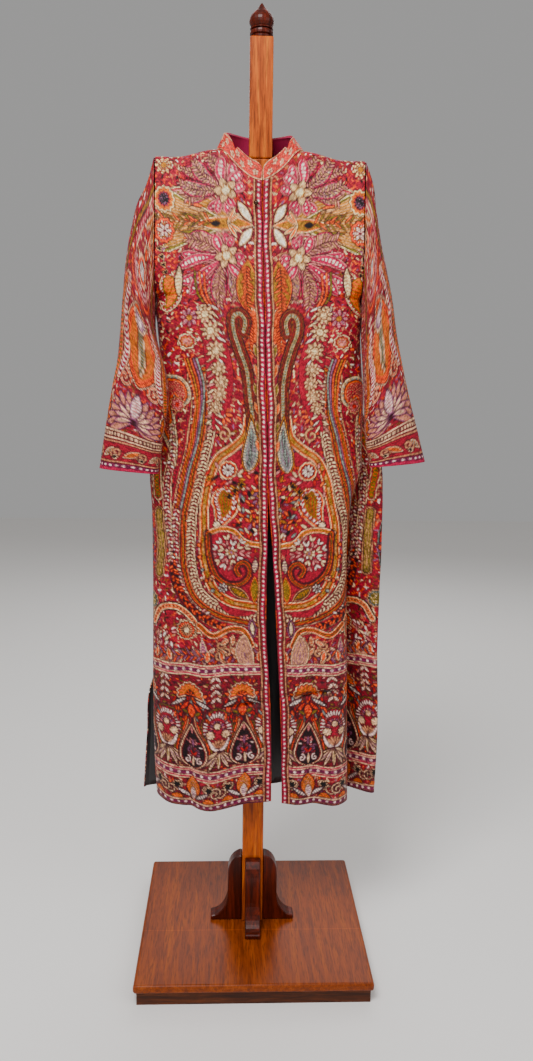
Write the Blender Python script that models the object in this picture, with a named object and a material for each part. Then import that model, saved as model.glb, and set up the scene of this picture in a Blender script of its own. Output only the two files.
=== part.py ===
"""A long embroidered jacket on a wooden display stand, at its real size in metres.

The origin is on the floor under the post. +Z is up and the jacket faces -Y, so the wearer's right is at -X.
"""

import math
from typing import NamedTuple

import bmesh
import bpy
import numpy as np

# Stand
BASE_SIDE = 0.435
PLINTH_HEIGHT = 0.024
PLINTH_INSET = 0.006
BOARD_THICKNESS = 0.016
BOARD_NOSE = 0.0055
BASE_TOP = PLINTH_HEIGHT + BOARD_THICKNESS
POST_SIDE = 0.041
POST_CHAMFER = 0.0025
POST_JOINT = 1.498
POST_SQUARE_TOP = 1.700
ARM_LENGTH = 0.362
ARM_THICKNESS = 0.026
ARM_HEIGHT = 0.055
ARM_ROUND = 0.010
ARM_TOP = POST_JOINT - 0.0003
BRACKET_THICKNESS = 0.030
BRACKET_HEIGHT = 0.138
BRACKET_WAIST = 0.028
BRACKET_REACH = 0.062
BRACKET_TOE = 0.009
CLEARANCE = 0.0003

# Cloth
CLOTH = 0.002
LINING = 0.001
LINING_DEPTH = 0.0021
SEAM = 0.0004
UNDERARM = 1.262
ARMHOLE_X = 0.185
ARMHOLE_ROUND = 0.068
ARMHOLE_POWER = 2.2
SHOULDER_TOP = ARM_TOP + 0.0009 + CLOTH / 2
SHOULDER_RISE = 0.0135
SHOULDER_SLOPE = (0.150, 0.070)
SHOULDER_ROLL = 0.016
ROLL_LENGTH = 0.032
ROLL_POWER = 2.4
NECK_HALF = 0.078
NECK_DROP = 0.0725
BACK_NECK_RISE = 0.015
BACK_NECK_DROP = 0.031
NECK_FULLNESS = 0.012
FULLNESS_HALF_WIDTH = 0.12
FULLNESS_START = 1.37
FULLNESS_RISE = 0.09
FULLNESS_OF_BACK = 1.6
FRONT_NECK_POWER = 1.7
BACK_NECK_POWER = 2.2
COLLAR_HEIGHT = 0.032
COLLAR_CORNER = 0.014
COLLAR_LEAN = (0.12, 0.50)
COLLAR_CREASE = 0.062
COLLAR_CREASE_DEPTH = 0.008
COLLAR_CREASE_WIDTH = 0.006
COLLAR_CREASE_PUSH = 0.004
LINING_ROWS = 21
LINING_END = 13
BACK_HEM = 0.304
BUTTON_RADIUS = 0.0042
BUTTON_PLACE = (-0.0075, 1.419)

# Each table below has the columns (height, value), in metres, and is read as a smooth curve.
FRONT_Y = (
    (0.28, -0.054), (0.60, -0.052), (0.90, -0.050), (1.10, -0.047),
    (1.26, -0.043), (1.36, -0.036), (1.44, -0.027), (1.50, -0.0225),
)
BACK_Y = (
    (0.28, 0.052), (0.60, 0.048), (0.90, 0.045), (1.10, 0.043),
    (1.26, 0.040), (1.36, 0.034), (1.44, 0.027), (1.50, 0.0225),
)
RIGHT_EDGE_X = (
    (0.30, 0.0338), (0.42, 0.0323), (0.51, 0.0292), (0.57, 0.0254), (0.63, 0.0207),
    (0.72, 0.0194), (0.82, 0.0202), (0.90, 0.0196), (1.20, 0.0105), (1.45, 0.0016),
)
# How far the left front's edge stands open from the right front's.
FRONT_GAP = (
    (0.30, 0.0198), (0.40, 0.0188), (0.49, 0.0182), (0.55, 0.0180), (0.65, 0.0188),
    (0.72, 0.0153), (0.82, 0.0074), (0.90, 0.0010), (1.00, 0.0006), (1.45, 0.0006),
)
RIGHT_SIDE_X = (
    (0.30, -0.1885), (0.38, -0.1926), (0.54, -0.1950), (0.75, -0.1940), (0.88, -0.1955),
    (0.94, -0.1990), (0.98, -0.1980), (1.05, -0.1900), (1.10, -0.1820),
    (1.15, -0.1785), (1.20, -0.1825), (1.262, -0.1846),
)
LEFT_SIDE_X = (
    (0.30, 0.1850), (0.51, 0.1790), (0.61, 0.1760), (0.75, 0.1720), (0.83, 0.1720),
    (0.90, 0.1790), (0.957, 0.1950), (1.00, 0.1960), (1.04, 0.1950), (1.10, 0.1925),
    (1.17, 0.1880), (1.22, 0.1855), (1.262, 0.1846),
)
LEFT_VALLEY_Y = (
    (0.30, 0.027), (0.82, 0.024), (0.90, 0.019), (0.957, 0.012),
    (1.04, 0.004), (1.10, 0.000), (1.262, 0.000),
)
# How far the back's side fold stands out past the front's edge on the wearer's left.
LEFT_LOBE = (
    (0.30, 0.0560), (0.43, 0.0625), (0.50, 0.0630), (0.59, 0.0620), (0.71, 0.0660),
    (0.83, 0.0675), (0.90, 0.0600), (0.957, 0.0400), (0.985, 0.0310), (1.010, 0.0210),
    (1.035, 0.0110), (1.060, 0.0030), (1.090, 0.0), (1.262, 0.0),
)
LOBE_TOP = 1.085
NOSE_TURN = 0.014
NOSE_STRAIGHT = 0.0032
NOSE_DEPTH = 0.004
SIDE_DEPTH = 0.016
FULL_HOOK = 0.045
SMALLEST_LOBE = 0.0005
# How square the body's sections turn at the sides: 2 is an ellipse, more is squarer.
FRONT_POWER = 3.0
FRONT_POWER_DROP = 0.5
TUCK_POWER = 3.5
BACK_POWER = 3.0
SLIT_SIDE_POWER = 2.6
SLEEVE_POWER = 2.3
# The back's free edge along the slit on the wearer's right: how far it stands out of the front's edge, and
# how far behind it.
SLIT_SPREAD = ((0.30, 0.030), (0.42, 0.016), (0.52, 0.0075), (0.545, 0.0), (0.60, 0.0))
SLIT_DEPTH = ((0.30, 0.030), (0.42, 0.018), (0.52, 0.006), (0.545, 0.0), (0.60, 0.0))
# Columns: share of the panel's width from the centre edge, height.
RIGHT_HEM = ((0.0, 0.3124), (0.25, 0.3030), (0.40, 0.2970), (0.55, 0.2950), (0.75, 0.3010), (1.0, 0.3130))
LEFT_HEM = ((0.0, 0.3080), (0.30, 0.3050), (0.70, 0.3035), (1.0, 0.3040))


class Fold(NamedTuple):
    """One soft fold: its place across the panel, its half width, how far it stands out, and its two ends."""

    across: float
    half_width: float
    depth: float
    foot: float
    head: float


RIGHT_FRONT_FOLDS = (
    Fold(across=0.18, half_width=0.085, depth=-0.006, foot=0.25, head=0.75),
    Fold(across=0.48, half_width=0.110, depth=0.012, foot=0.25, head=0.95),
    Fold(across=0.64, half_width=0.045, depth=-0.007, foot=0.25, head=0.82),
    Fold(across=0.80, half_width=0.075, depth=0.006, foot=0.25, head=1.05),
    Fold(across=0.62, half_width=0.100, depth=0.005, foot=1.00, head=1.42),
)
LEFT_FRONT_FOLDS = (
    Fold(across=0.14, half_width=0.090, depth=0.005, foot=0.25, head=0.80),
    Fold(across=0.32, half_width=0.075, depth=-0.007, foot=0.25, head=0.88),
    Fold(across=0.52, half_width=0.080, depth=0.007, foot=0.25, head=1.00),
    Fold(across=0.56, half_width=0.090, depth=-0.004, foot=1.00, head=1.42),
)
BACK_FOLDS = (
    Fold(across=0.12, half_width=0.050, depth=0.008, foot=0.25, head=1.00),
    Fold(across=0.22, half_width=0.040, depth=-0.007, foot=0.25, head=0.90),
    Fold(across=0.34, half_width=0.055, depth=0.012, foot=0.25, head=1.20),
    Fold(across=0.46, half_width=0.045, depth=-0.009, foot=0.25, head=1.00),
    Fold(across=0.57, half_width=0.050, depth=0.010, foot=0.25, head=1.10),
    Fold(across=0.68, half_width=0.040, depth=-0.006, foot=0.25, head=0.90),
)


class Ring(NamedTuple):
    """One section across a sleeve, between its outer and inner points, given for the side at +X."""

    outer_x: float
    outer_z: float
    inner_x: float
    inner_z: float
    outer_y: float
    inner_y: float
    half_depth: float
    roundness: float


RIGHT_RINGS = (
    Ring(0.1868, 1.4990, 0.1875, 1.262, 0.000, 0.000, 0.038, 0.00),
    Ring(0.1985, 1.4580, 0.1880, 1.240, 0.000, -0.006, 0.042, 0.25),
    Ring(0.2150, 1.4200, 0.1880, 1.218, -0.002, -0.016, 0.045, 0.50),
    Ring(0.2290, 1.3700, 0.1860, 1.196, -0.006, -0.030, 0.045, 0.75),
    Ring(0.2380, 1.3180, 0.1810, 1.172, -0.010, -0.045, 0.042, 1.00),
    Ring(0.2430, 1.2620, 0.1720, 1.146, -0.016, -0.058, 0.038, 1.00),
    Ring(0.2470, 1.2050, 0.1640, 1.115, -0.024, -0.066, 0.034, 1.00),
    Ring(0.2515, 1.1490, 0.1610, 1.082, -0.036, -0.067, 0.032, 1.00),
    Ring(0.2600, 1.1000, 0.1645, 1.048, -0.044, -0.062, 0.032, 1.00),
    Ring(0.2690, 1.0460, 0.1715, 1.010, -0.052, -0.062, 0.029, 1.00),
    Ring(0.2765, 0.9975, 0.1755, 0.976, -0.056, -0.062, 0.027, 1.00),
    Ring(0.2830, 0.9530, 0.1805, 0.944, -0.060, -0.062, 0.025, 1.00),
)
LEFT_RINGS = (
    Ring(0.1868, 1.4990, 0.1875, 1.262, 0.000, 0.000, 0.038, 0.00),
    Ring(0.1995, 1.4660, 0.1880, 1.240, 0.000, -0.006, 0.042, 0.25),
    Ring(0.2060, 1.4320, 0.1885, 1.216, -0.002, -0.014, 0.045, 0.50),
    Ring(0.2120, 1.3900, 0.1885, 1.192, -0.006, -0.024, 0.046, 0.75),
    Ring(0.2195, 1.3500, 0.1885, 1.168, -0.010, -0.036, 0.045, 1.00),
    Ring(0.2290, 1.3080, 0.1890, 1.143, -0.016, -0.046, 0.043, 1.00),
    Ring(0.2390, 1.2580, 0.1895, 1.116, -0.024, -0.054, 0.040, 1.00),
    Ring(0.2465, 1.2050, 0.1905, 1.088, -0.032, -0.058, 0.037, 1.00),
    Ring(0.2565, 1.1520, 0.1915, 1.060, -0.040, -0.062, 0.034, 1.00),
    Ring(0.2700, 1.0920, 0.1935, 1.028, -0.048, -0.062, 0.031, 1.00),
    Ring(0.2855, 1.0340, 0.1975, 0.996, -0.054, -0.062, 0.028, 1.00),
    Ring(0.3030, 0.9700, 0.2040, 0.960, -0.058, -0.062, 0.025, 1.00),
)

# Heights of the body's rows above the hem, then the turns of the roll over the shoulder, in degrees.
ROWS = (
    0.345, 0.390, 0.440, 0.490, 0.545, 0.600, 0.660, 0.720, 0.780, 0.835, 0.880, 0.920, 0.955, 0.985,
    1.010, 1.035, 1.060, 1.090, 1.130, 1.170, 1.215, 1.262, 1.276, 1.296, 1.330, 1.370, 1.410,
)
BLEND_FROM = 1.330
ROLL_TURNS = (0.0, 30.0, 52.0, 72.0, 90.0)
FRONT_NECK_COLUMNS = 7
FRONT_SIDE_COLUMNS = 8
BACK_NECK_COLUMNS = 12
BACK_SIDE_COLUMNS = (8, 11)
# Shares of the back's width: one column by the slit edge, and the last ones close together in the side fold.
SLIT_COLUMN = 0.012
SIDE_FOLD_COLUMNS = (0.978, 0.988, 0.9945, 1.0)
SLEEVE_ROWS = 15
SLEEVE_ROW_POWER = 0.92
SLEEVE_COLUMNS = 22
COLLAR_ROWS = 4
COLLAR_EXTRA = (0.0015, 0.0045, 0.009, 0.014, 0.052, 0.057, 0.062, 0.067, 0.072)


def along(table, at):
    """Reads the smooth curve through a table of (place, value) rows."""
    places = np.array([row[0] for row in table])
    values = np.array([row[1] for row in table])
    slopes = np.gradient(values, places)
    k = int(np.clip(np.searchsorted(places, at) - 1, 0, len(places) - 2))
    span = places[k + 1] - places[k]
    t = float(np.clip((at - places[k]) / span, 0.0, 1.0))
    return (
        values[k] * (2 * t**3 - 3 * t**2 + 1)
        + values[k + 1] * (3 * t**2 - 2 * t**3)
        + span * (slopes[k] * (t**3 - 2 * t**2 + t) + slopes[k + 1] * (t**3 - t**2))
    )


def ease(t):
    """Runs from 0 to 1 with flat ends."""
    t = min(1.0, max(0.0, t))
    return t * t * (3 - 2 * t)


def corner(start, end, power, count=48):
    """A rounded quarter from start, leaving along X, to end, arriving along Y."""
    angle = np.linspace(0.0, math.pi / 2, count)
    x = start[0] + (end[0] - start[0]) * np.sin(angle) ** (2 / power)
    y = end[1] + (start[1] - end[1]) * np.maximum(np.cos(angle), 0.0) ** (2 / power)
    return np.stack([x, y], axis=1)


def point_along(points, share, trim=SEAM / 2):
    """The point at a share of a line's length, with the line cut back by trim at both ends."""
    steps = np.concatenate([[0.0], np.cumsum(np.hypot(*np.diff(points, axis=0).T))])
    at = trim + share * (steps[-1] - 2 * trim)
    return np.array([np.interp(at, steps, points[:, 0]), np.interp(at, steps, points[:, 1])])


def shoulder_top(x, face):
    """Height of the cloth's middle along the top of the shoulder, virtual inside the neck."""
    start, run = SHOULDER_SLOPE
    height = SHOULDER_TOP + SHOULDER_RISE * ease((start - abs(x)) / run)
    if face > 0 and abs(x) < NECK_HALF:
        height += BACK_NECK_RISE * (1 - (x / NECK_HALF) ** 2)
    return height


def face_y(z, x, face):
    """Depth of the front (face -1) or back (face 1), with the fullness under the collar."""
    level = along(FRONT_Y if face < 0 else BACK_Y, z)
    share = max(0.0, 1 - (x / FULLNESS_HALF_WIDTH) ** 2) ** 2 * ease((z - FULLNESS_START) / FULLNESS_RISE)
    return level + face * NECK_FULLNESS * share * (1.0 if face < 0 else FULLNESS_OF_BACK)


def armhole_depth(z, face):
    """How far the armhole's edge stands from its middle, closing in a round at the underarm."""
    bottom = UNDERARM + ARMHOLE_ROUND
    if z >= bottom:
        return face_y(z, ARMHOLE_X, face)
    share = min(1.0, (bottom - z) / ARMHOLE_ROUND)
    return face_y(bottom, ARMHOLE_X, face) * (1 - share**ARMHOLE_POWER) ** (1 / ARMHOLE_POWER)


def centre_edge(side, z):
    """Where a front's centre edge lies across the body."""
    edge = along(RIGHT_EDGE_X, z)
    return edge if side < 0 else edge + max(0.0006, along(FRONT_GAP, z))


def front_line(side, z):
    """The front's section at a height, from its centre edge to its side edge."""
    edge = centre_edge(side, z)
    start = (edge, along(FRONT_Y, z))
    if z >= UNDERARM:
        return corner(start, (side * ARMHOLE_X, armhole_depth(z, -1)), FRONT_POWER)
    drop = ease((UNDERARM - z) / 0.20)
    if side < 0:
        return corner(start, (along(RIGHT_SIDE_X, z), 0.0), FRONT_POWER - FRONT_POWER_DROP * drop)
    tuck = ease((1.04 - z) / 0.16)
    power = FRONT_POWER - FRONT_POWER_DROP * drop + TUCK_POWER * tuck
    return corner(start, (along(LEFT_SIDE_X, z), along(LEFT_VALLEY_Y, z)), power)


def nose(start, valley, hook):
    """The fold from the lobe's outermost point forward and back in, to meet the front's edge end to end."""
    a, d = np.array(start), np.array(valley)
    turn = d + np.array([0.0, NOSE_STRAIGHT])
    reach = math.dist(a, turn)
    t = np.linspace(0.0, 1.0, 40)[1:, None]
    b = a + np.array([0.0, -0.40 * reach * hook])
    c = turn + np.array([0.0, min(0.45 * reach, NOSE_TURN) * hook])
    bend = a * (1 - t) ** 3 + 3 * b * t * (1 - t) ** 2 + 3 * c * t**2 * (1 - t) + turn * t**3
    return np.concatenate([bend, [d]])


def back_line(z):
    """The back's section at a height, from the wearer's right round to the wearer's left."""
    back = along(BACK_Y, z)
    if z >= UNDERARM:
        depth = armhole_depth(z, 1)
        right, left = (-ARMHOLE_X, depth), (ARMHOLE_X, depth)
        halves = [corner((0.0, back), end, BACK_POWER) for end in (right, left)]
        return np.concatenate([halves[0][::-1], halves[1][1:]])
    spread, depth = along(SLIT_SPREAD, z), along(SLIT_DEPTH, z)
    right = (along(RIGHT_SIDE_X, z) - max(0.0, spread), max(0.0, depth))
    lobe = max(0.0, along(LEFT_LOBE, z)) if z < LOBE_TOP else 0.0
    valley = (along(LEFT_SIDE_X, z), along(LEFT_VALLEY_Y, z))
    right_half = corner((0.0, back), right, SLIT_SIDE_POWER)[::-1]
    if lobe < SMALLEST_LOBE:
        return np.concatenate([right_half, corner((0.0, back), valley, BACK_POWER)[1:]])
    hook = ease(lobe / FULL_HOOK)
    wrap = (valley[0] + lobe, (valley[1] + SIDE_DEPTH) * (1 - hook) + NOSE_DEPTH * hook)
    return np.concatenate([right_half, corner((0.0, back), wrap, BACK_POWER)[1:], nose(wrap, valley, hook)])


def fold_depth(folds, share, z):
    """How far the folds stand out at a place on a panel."""
    total = 0.0
    for fold in folds:
        bell = math.exp(-(((share - fold.across) / fold.half_width) ** 2))
        if fold.foot >= 1.0:
            rise = math.sin(math.pi * min(1.0, max(0.0, (z - fold.foot) / (fold.head - fold.foot))))
        else:
            rise = ease((fold.head - z) / (fold.head - fold.foot))
        total += fold.depth * bell * rise
    return total


def rolled(x, level, face):
    """A point that follows the cloth up the body and over the shoulder, by its length along the cloth."""
    start = shoulder_top(x, face) - SHOULDER_ROLL
    if level <= start:
        return np.array([x, face_y(level, x, face), level])
    angle = math.pi / 2 * min(1.0, (level - start) / ROLL_LENGTH)
    y = face_y(start, x, face) * max(0.0, math.cos(angle)) ** (2 / ROLL_POWER)
    return np.array([x, y, start + SHOULDER_ROLL * math.sin(angle) ** (2 / ROLL_POWER)])


def neck_cut(x, face):
    """How much of the cloth's length is cut away for the neck."""
    if abs(x) >= NECK_HALF:
        return 0.0
    if face < 0:
        return NECK_DROP * (1 - (abs(x) / NECK_HALF) ** FRONT_NECK_POWER)
    return BACK_NECK_DROP * (1 - (abs(x) / NECK_HALF) ** BACK_NECK_POWER)


def top_level(x, face):
    """The level at which the cloth ends, at the shoulder seam or the neck."""
    return shoulder_top(x, face) - SHOULDER_ROLL + ROLL_LENGTH - neck_cut(x, face) - SEAM / 2


def body_line(face, side, level):
    """The section that a body panel follows at a level."""
    return front_line(side, level) if face < 0 else back_line(level)


def body_point(face, side, share, level):
    """A point of a body panel: face -1 is a front on a side, face 1 is the whole back."""
    x, y = point_along(body_line(face, side, min(level, ROWS[-1])), share)
    if level <= BLEND_FROM:
        return np.array([x, y, level])
    blend = ease((level - BLEND_FROM) / (ROWS[-1] - BLEND_FROM))
    return np.array([x, y, level]) * (1 - blend) + rolled(x, level, face) * blend


def shares_through(line, marks):
    """The shares of a section's length at which it passes given places across the body."""
    steps = np.concatenate([[0.0], np.cumsum(np.hypot(*np.diff(line, axis=0).T))])
    order = np.argsort(line[:, 0])
    return [(np.interp(mark, line[order, 0], steps[order]) - SEAM / 2) / (steps[-1] - SEAM) for mark in marks]


def front_shares(side):
    """Where a front's columns lie, with one at the neck's corner."""
    neck = shares_through(front_line(side, ROWS[-1]), [side * NECK_HALF])[0]
    inner = np.linspace(0.0, neck, FRONT_NECK_COLUMNS)
    return np.concatenate([inner, np.linspace(neck, 1.0, FRONT_SIDE_COLUMNS + 1)[1:]])


def back_shares():
    """Where the back's columns lie, with one close to its slit edge and one at each corner of the neck."""
    first, last = shares_through(back_line(ROWS[-1]), [-NECK_HALF, NECK_HALF])
    return np.concatenate([
        [0.0],
        np.linspace(SLIT_COLUMN, first, BACK_SIDE_COLUMNS[0]),
        np.linspace(first, last, BACK_NECK_COLUMNS)[1:],
        np.linspace(last, SIDE_FOLD_COLUMNS[0], BACK_SIDE_COLUMNS[1])[1:],
        SIDE_FOLD_COLUMNS[1:],
    ])


def panel(face, side, shares, folds, hem):
    """The grid of a body panel's middle surface with its outward directions, row by row from the hem."""
    points, normals = [], []
    for share in shares:
        foot = along(hem, share) if isinstance(hem, tuple) else hem
        x = body_point(face, side, share, ROWS[-1])[0]
        start = shoulder_top(x, face) - SHOULDER_ROLL
        top = top_level(x, face)
        roll = [start + ROLL_LENGTH * turn / 90.0 for turn in ROLL_TURNS]
        if top < roll[-1] - SEAM:
            roll = list(np.linspace(min(start, (ROWS[-1] + 2 * top) / 3), top, len(roll)))
        roll[-1] = top
        levels = [foot, *ROWS, (ROWS[-1] + roll[0]) / 2, *roll]
        column = [folded_point(face, side, share, level, folds) for level in levels]
        points.append([point for point, _ in column])
        normals.append([normal for _, normal in column])
    return np.array(points).transpose(1, 0, 2), np.array(normals).transpose(1, 0, 2)


def folded_point(face, side, share, level, folds):
    """A point of a panel with its folds, and the direction out of the jacket there."""
    normal = plain_normal(face, side, share, level)
    point = body_point(face, side, share, level)
    edge = min(1.0, min(share, 1 - share) / 0.06) ** 2
    return point + normal * fold_depth(folds, share, point[2]) * edge, normal


def plain_normal(face, side, share, level):
    """The outward direction at a place on a panel without its folds."""
    low, high = max(0.0, share - 0.004), min(1.0, share + 0.004)
    across = body_point(face, side, high, level) - body_point(face, side, low, level)
    step = 0.0005 if level < ROWS[-1] else 0.00005
    up = body_point(face, side, share, level + step) - body_point(face, side, share, level - step)
    normal = np.cross(across, up) * (side if face < 0 else -1)
    return normal / np.linalg.norm(normal)


def armhole_loop(count):
    """The armhole as (height share, depth share) from the shoulder round by the front, evenly spaced."""
    roll = np.linspace(math.pi / 2, 0.0, 12)
    start = shoulder_top(ARMHOLE_X, 1) - SHOULDER_ROLL
    loop = []
    for face in (-1, 1):
        deep = face_y(start, ARMHOLE_X, face)
        power = 2 / ROLL_POWER
        half = [
            (start + SHOULDER_ROLL * math.sin(a) ** power, deep * max(0.0, math.cos(a)) ** power)
            for a in roll
        ]
        bend = np.sin(np.linspace(0.0, math.pi / 2, 20)[1:]) ** (2 / ARMHOLE_POWER)
        straight = np.linspace(start, UNDERARM + ARMHOLE_ROUND, 16)[1:]
        heights = np.concatenate([straight, UNDERARM + ARMHOLE_ROUND * (1 - bend)])
        half += [(z, armhole_depth(z, face)) for z in heights]
        loop.append(np.array(half))
    points = np.concatenate([loop[0], loop[1][::-1][1:]])
    steps = np.concatenate([[0.0], np.cumsum(np.hypot(*np.diff(points, axis=0).T))])
    at = np.arange(count) / count * steps[-1]
    height = np.interp(at, steps, points[:, 0])
    depth = np.interp(at, steps, points[:, 1])
    middle, half_height = (SHOULDER_TOP + UNDERARM) / 2, (SHOULDER_TOP - UNDERARM) / 2
    return np.stack([(height - middle) / half_height, depth / RIGHT_RINGS[0].half_depth], axis=1)


def round_loop(count, power=SLEEVE_POWER):
    """The same walk round a sleeve's rounded section."""
    angle = np.arange(count) / count * 2 * math.pi
    height = np.sign(np.cos(angle)) * np.abs(np.cos(angle)) ** (2 / power)
    depth = -np.sign(np.sin(angle)) * np.abs(np.sin(angle)) ** (2 / power)
    return np.stack([height, depth], axis=1)


def sleeve(side, rings, rows, columns):
    """The grid of a sleeve's middle surface, from the armhole to the cuff."""
    start, end = armhole_loop(columns), round_loop(columns)
    places = np.linspace(0.0, 1.0, len(rings))
    grid = []
    for place in np.linspace(0.0, 1.0, rows) ** SLEEVE_ROW_POWER:
        ring = Ring(*(along(tuple(zip(places, column)), place) for column in zip(*rings)))
        loop = start * (1 - ring.roundness) + end * ring.roundness
        outer = np.array([ring.outer_x, ring.outer_z])
        inner = np.array([ring.inner_x, ring.inner_z])
        centre, half = (outer + inner) / 2, (outer - inner) / 2
        flat = centre + loop[:, :1] * half
        middle, lean = (ring.outer_y + ring.inner_y) / 2, (ring.outer_y - ring.inner_y) / 2
        y = middle + lean * loop[:, 0] + loop[:, 1] * ring.half_depth
        grid.append(np.stack([side * flat[:, 0], y, flat[:, 1]], axis=1))
    return np.array(grid)


def neck_edge(right, back, left):
    """The neck's edge from one front's centre round the back to the other, with the cloth's directions."""
    edges = []
    for part in range(2):
        fronts = [grids[part][-1][:FRONT_NECK_COLUMNS] for grids in (right, left)]
        start = BACK_SIDE_COLUMNS[0]
        inner = back[part][-1][start + 1:start + BACK_NECK_COLUMNS - 1]
        edges.append(np.concatenate([fronts[0], inner, fronts[1][::-1]]))
    return edges


def collar(edge, directions):
    """The stand collar on the neck's edge: its grid, with round front corners and a crease on each side."""
    walked = np.concatenate([[0.0], np.cumsum(np.linalg.norm(np.diff(edge, axis=0), axis=1))])
    length = walked[-1]
    extra = [place for e in COLLAR_EXTRA for place in (e, length - e)]
    places = np.array(sorted([*walked, *extra]))
    places = places[np.concatenate([[True], np.diff(places) > 0.0012])]
    grid = []
    for place in places:
        base = np.array([np.interp(place, walked, edge[:, k]) for k in range(3)])
        flat = max(0.0, np.interp(place, walked, directions[:, 2]))
        end = min(place, length - place)
        over = max(0.0, COLLAR_CORNER - end)
        rise = COLLAR_HEIGHT - COLLAR_CORNER + math.sqrt(max(0.0, COLLAR_CORNER**2 - over**2))
        crease = math.exp(-(((end - COLLAR_CREASE) / COLLAR_CREASE_WIDTH) ** 2))
        rise -= COLLAR_CREASE_DEPTH * crease
        inward = -np.array([base[0] / NECK_HALF**2, base[1] / 0.040**2, 0.0])
        inward /= np.linalg.norm(inward)
        way = np.array([0.0, 0.0, 1.0]) + inward * (COLLAR_LEAN[0] + (COLLAR_LEAN[1] - COLLAR_LEAN[0]) * flat)
        way /= np.linalg.norm(way)
        start = base + np.array([0.0, 0.0, 0.0006 + 0.0014 * flat])
        push = inward * COLLAR_CREASE_PUSH * crease
        grid.append([start + (way * rise + push) * s for s in np.linspace(0, 1, COLLAR_ROWS)])
    return np.array(grid).transpose(1, 0, 2)


def grid_normals(grid, centre, closed=False):
    """The directions away from a centre at the points of a grid."""
    if closed:
        across = np.roll(grid, -1, axis=1) - np.roll(grid, 1, axis=1)
    else:
        across = np.gradient(grid, axis=1)
    normal = np.cross(across, np.gradient(grid, axis=0))
    normal /= np.linalg.norm(normal, axis=2, keepdims=True)
    return normal * np.sign((normal * (grid - centre)).sum())


def material(name, colour, roughness, metallic=0.0):
    """A plain finish."""
    made = bpy.data.materials.new(name)
    made.use_nodes = True
    shader = made.node_tree.nodes["Principled BSDF"]
    shader.inputs["Base Color"].default_value = (*colour, 1.0)
    shader.inputs["Roughness"].default_value = roughness
    shader.inputs["Metallic"].default_value = metallic
    return made


def add_object(name, mesh, finish):
    """Links a mesh as a named object with its finish."""
    made = bpy.data.objects.new(name, mesh)
    mesh.materials.append(finish)
    bpy.context.scene.collection.objects.link(made)
    return made


def cloth_object(name, grid, normals, finish, thickness=CLOTH, closed=False):
    """A closed wall of cloth to both sides of a grid of points."""
    rows, columns = grid.shape[:2]
    walls = [grid + normals * thickness / 2, grid - normals * thickness / 2]
    count = rows * columns
    faces = []
    for r in range(rows - 1):
        for c in range(columns if closed else columns - 1):
            d = (c + 1) % columns
            quad = (r * columns + c, r * columns + d, (r + 1) * columns + d, (r + 1) * columns + c)
            for corners in ((quad[0], quad[1], quad[2]), (quad[0], quad[2], quad[3])):
                faces.append(corners)
                faces.append(tuple(count + k for k in reversed(corners)))
    bottom, top = list(range(columns)), [(rows - 1) * columns + c for c in range(columns)]
    if closed:
        borders = [bottom + bottom[:1], (top + top[:1])[::-1]]
    else:
        left, right = [r * columns for r in range(rows)], [r * columns + columns - 1 for r in range(rows)]
        borders = [bottom, right, top[::-1], left[::-1]]
    for border in borders:
        for a, b in zip(border, border[1:]):
            faces.append((b, a, count + a, count + b))
    mesh = bpy.data.meshes.new(name)
    mesh.from_pydata([tuple(p) for wall in walls for p in wall.reshape(-1, 3)], [], faces)
    shape = bmesh.new()
    shape.from_mesh(mesh)
    bmesh.ops.recalc_face_normals(shape, faces=shape.faces)
    shape.to_mesh(mesh)
    shape.free()
    mesh.shade_smooth()
    return add_object(name, mesh, finish)


def solid_object(name, shape, finish, bevel=0.0, segments=2):
    """An object from a bmesh, with its sharp edges eased."""
    bmesh.ops.recalc_face_normals(shape, faces=shape.faces)
    mesh = bpy.data.meshes.new(name)
    shape.to_mesh(mesh)
    shape.free()
    made = add_object(name, mesh, finish)
    if bevel:
        soft = made.modifiers.new("Eased edges", "BEVEL")
        soft.width = bevel
        soft.segments = segments
        soft.limit_method = "ANGLE"
        soft.angle_limit = math.radians(40)
    return made


def block(low, high):
    """A box between two corners."""
    shape = bmesh.new()
    bmesh.ops.create_cube(shape, size=1.0)
    for vertex in shape.verts:
        vertex.co = [low[k] if vertex.co[k] < 0 else high[k] for k in range(3)]
    return shape


def prism(outline, thickness):
    """An outline in X and Z, made solid to both sides along Y."""
    shape = bmesh.new()
    vertices = [shape.verts.new((x, -thickness / 2, z)) for x, z in outline]
    face = shape.faces.new(vertices)
    grown = bmesh.ops.extrude_face_region(shape, geom=[face])
    moved = [item for item in grown["geom"] if isinstance(item, bmesh.types.BMVert)]
    bmesh.ops.translate(shape, verts=moved, vec=(0.0, thickness, 0.0))
    return shape


def build_base(wood):
    """The plinth and the round-nosed board on it."""
    side = BASE_SIDE / 2 - PLINTH_INSET
    solid_object("base_plinth", block((-side, -side, 0.0), (side, side, PLINTH_HEIGHT - CLEARANCE)), wood)
    side = BASE_SIDE / 2
    board = block((-side, -side, PLINTH_HEIGHT), (side, side, BASE_TOP))
    solid_object("base_board", board, wood, bevel=BOARD_NOSE, segments=4)


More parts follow.
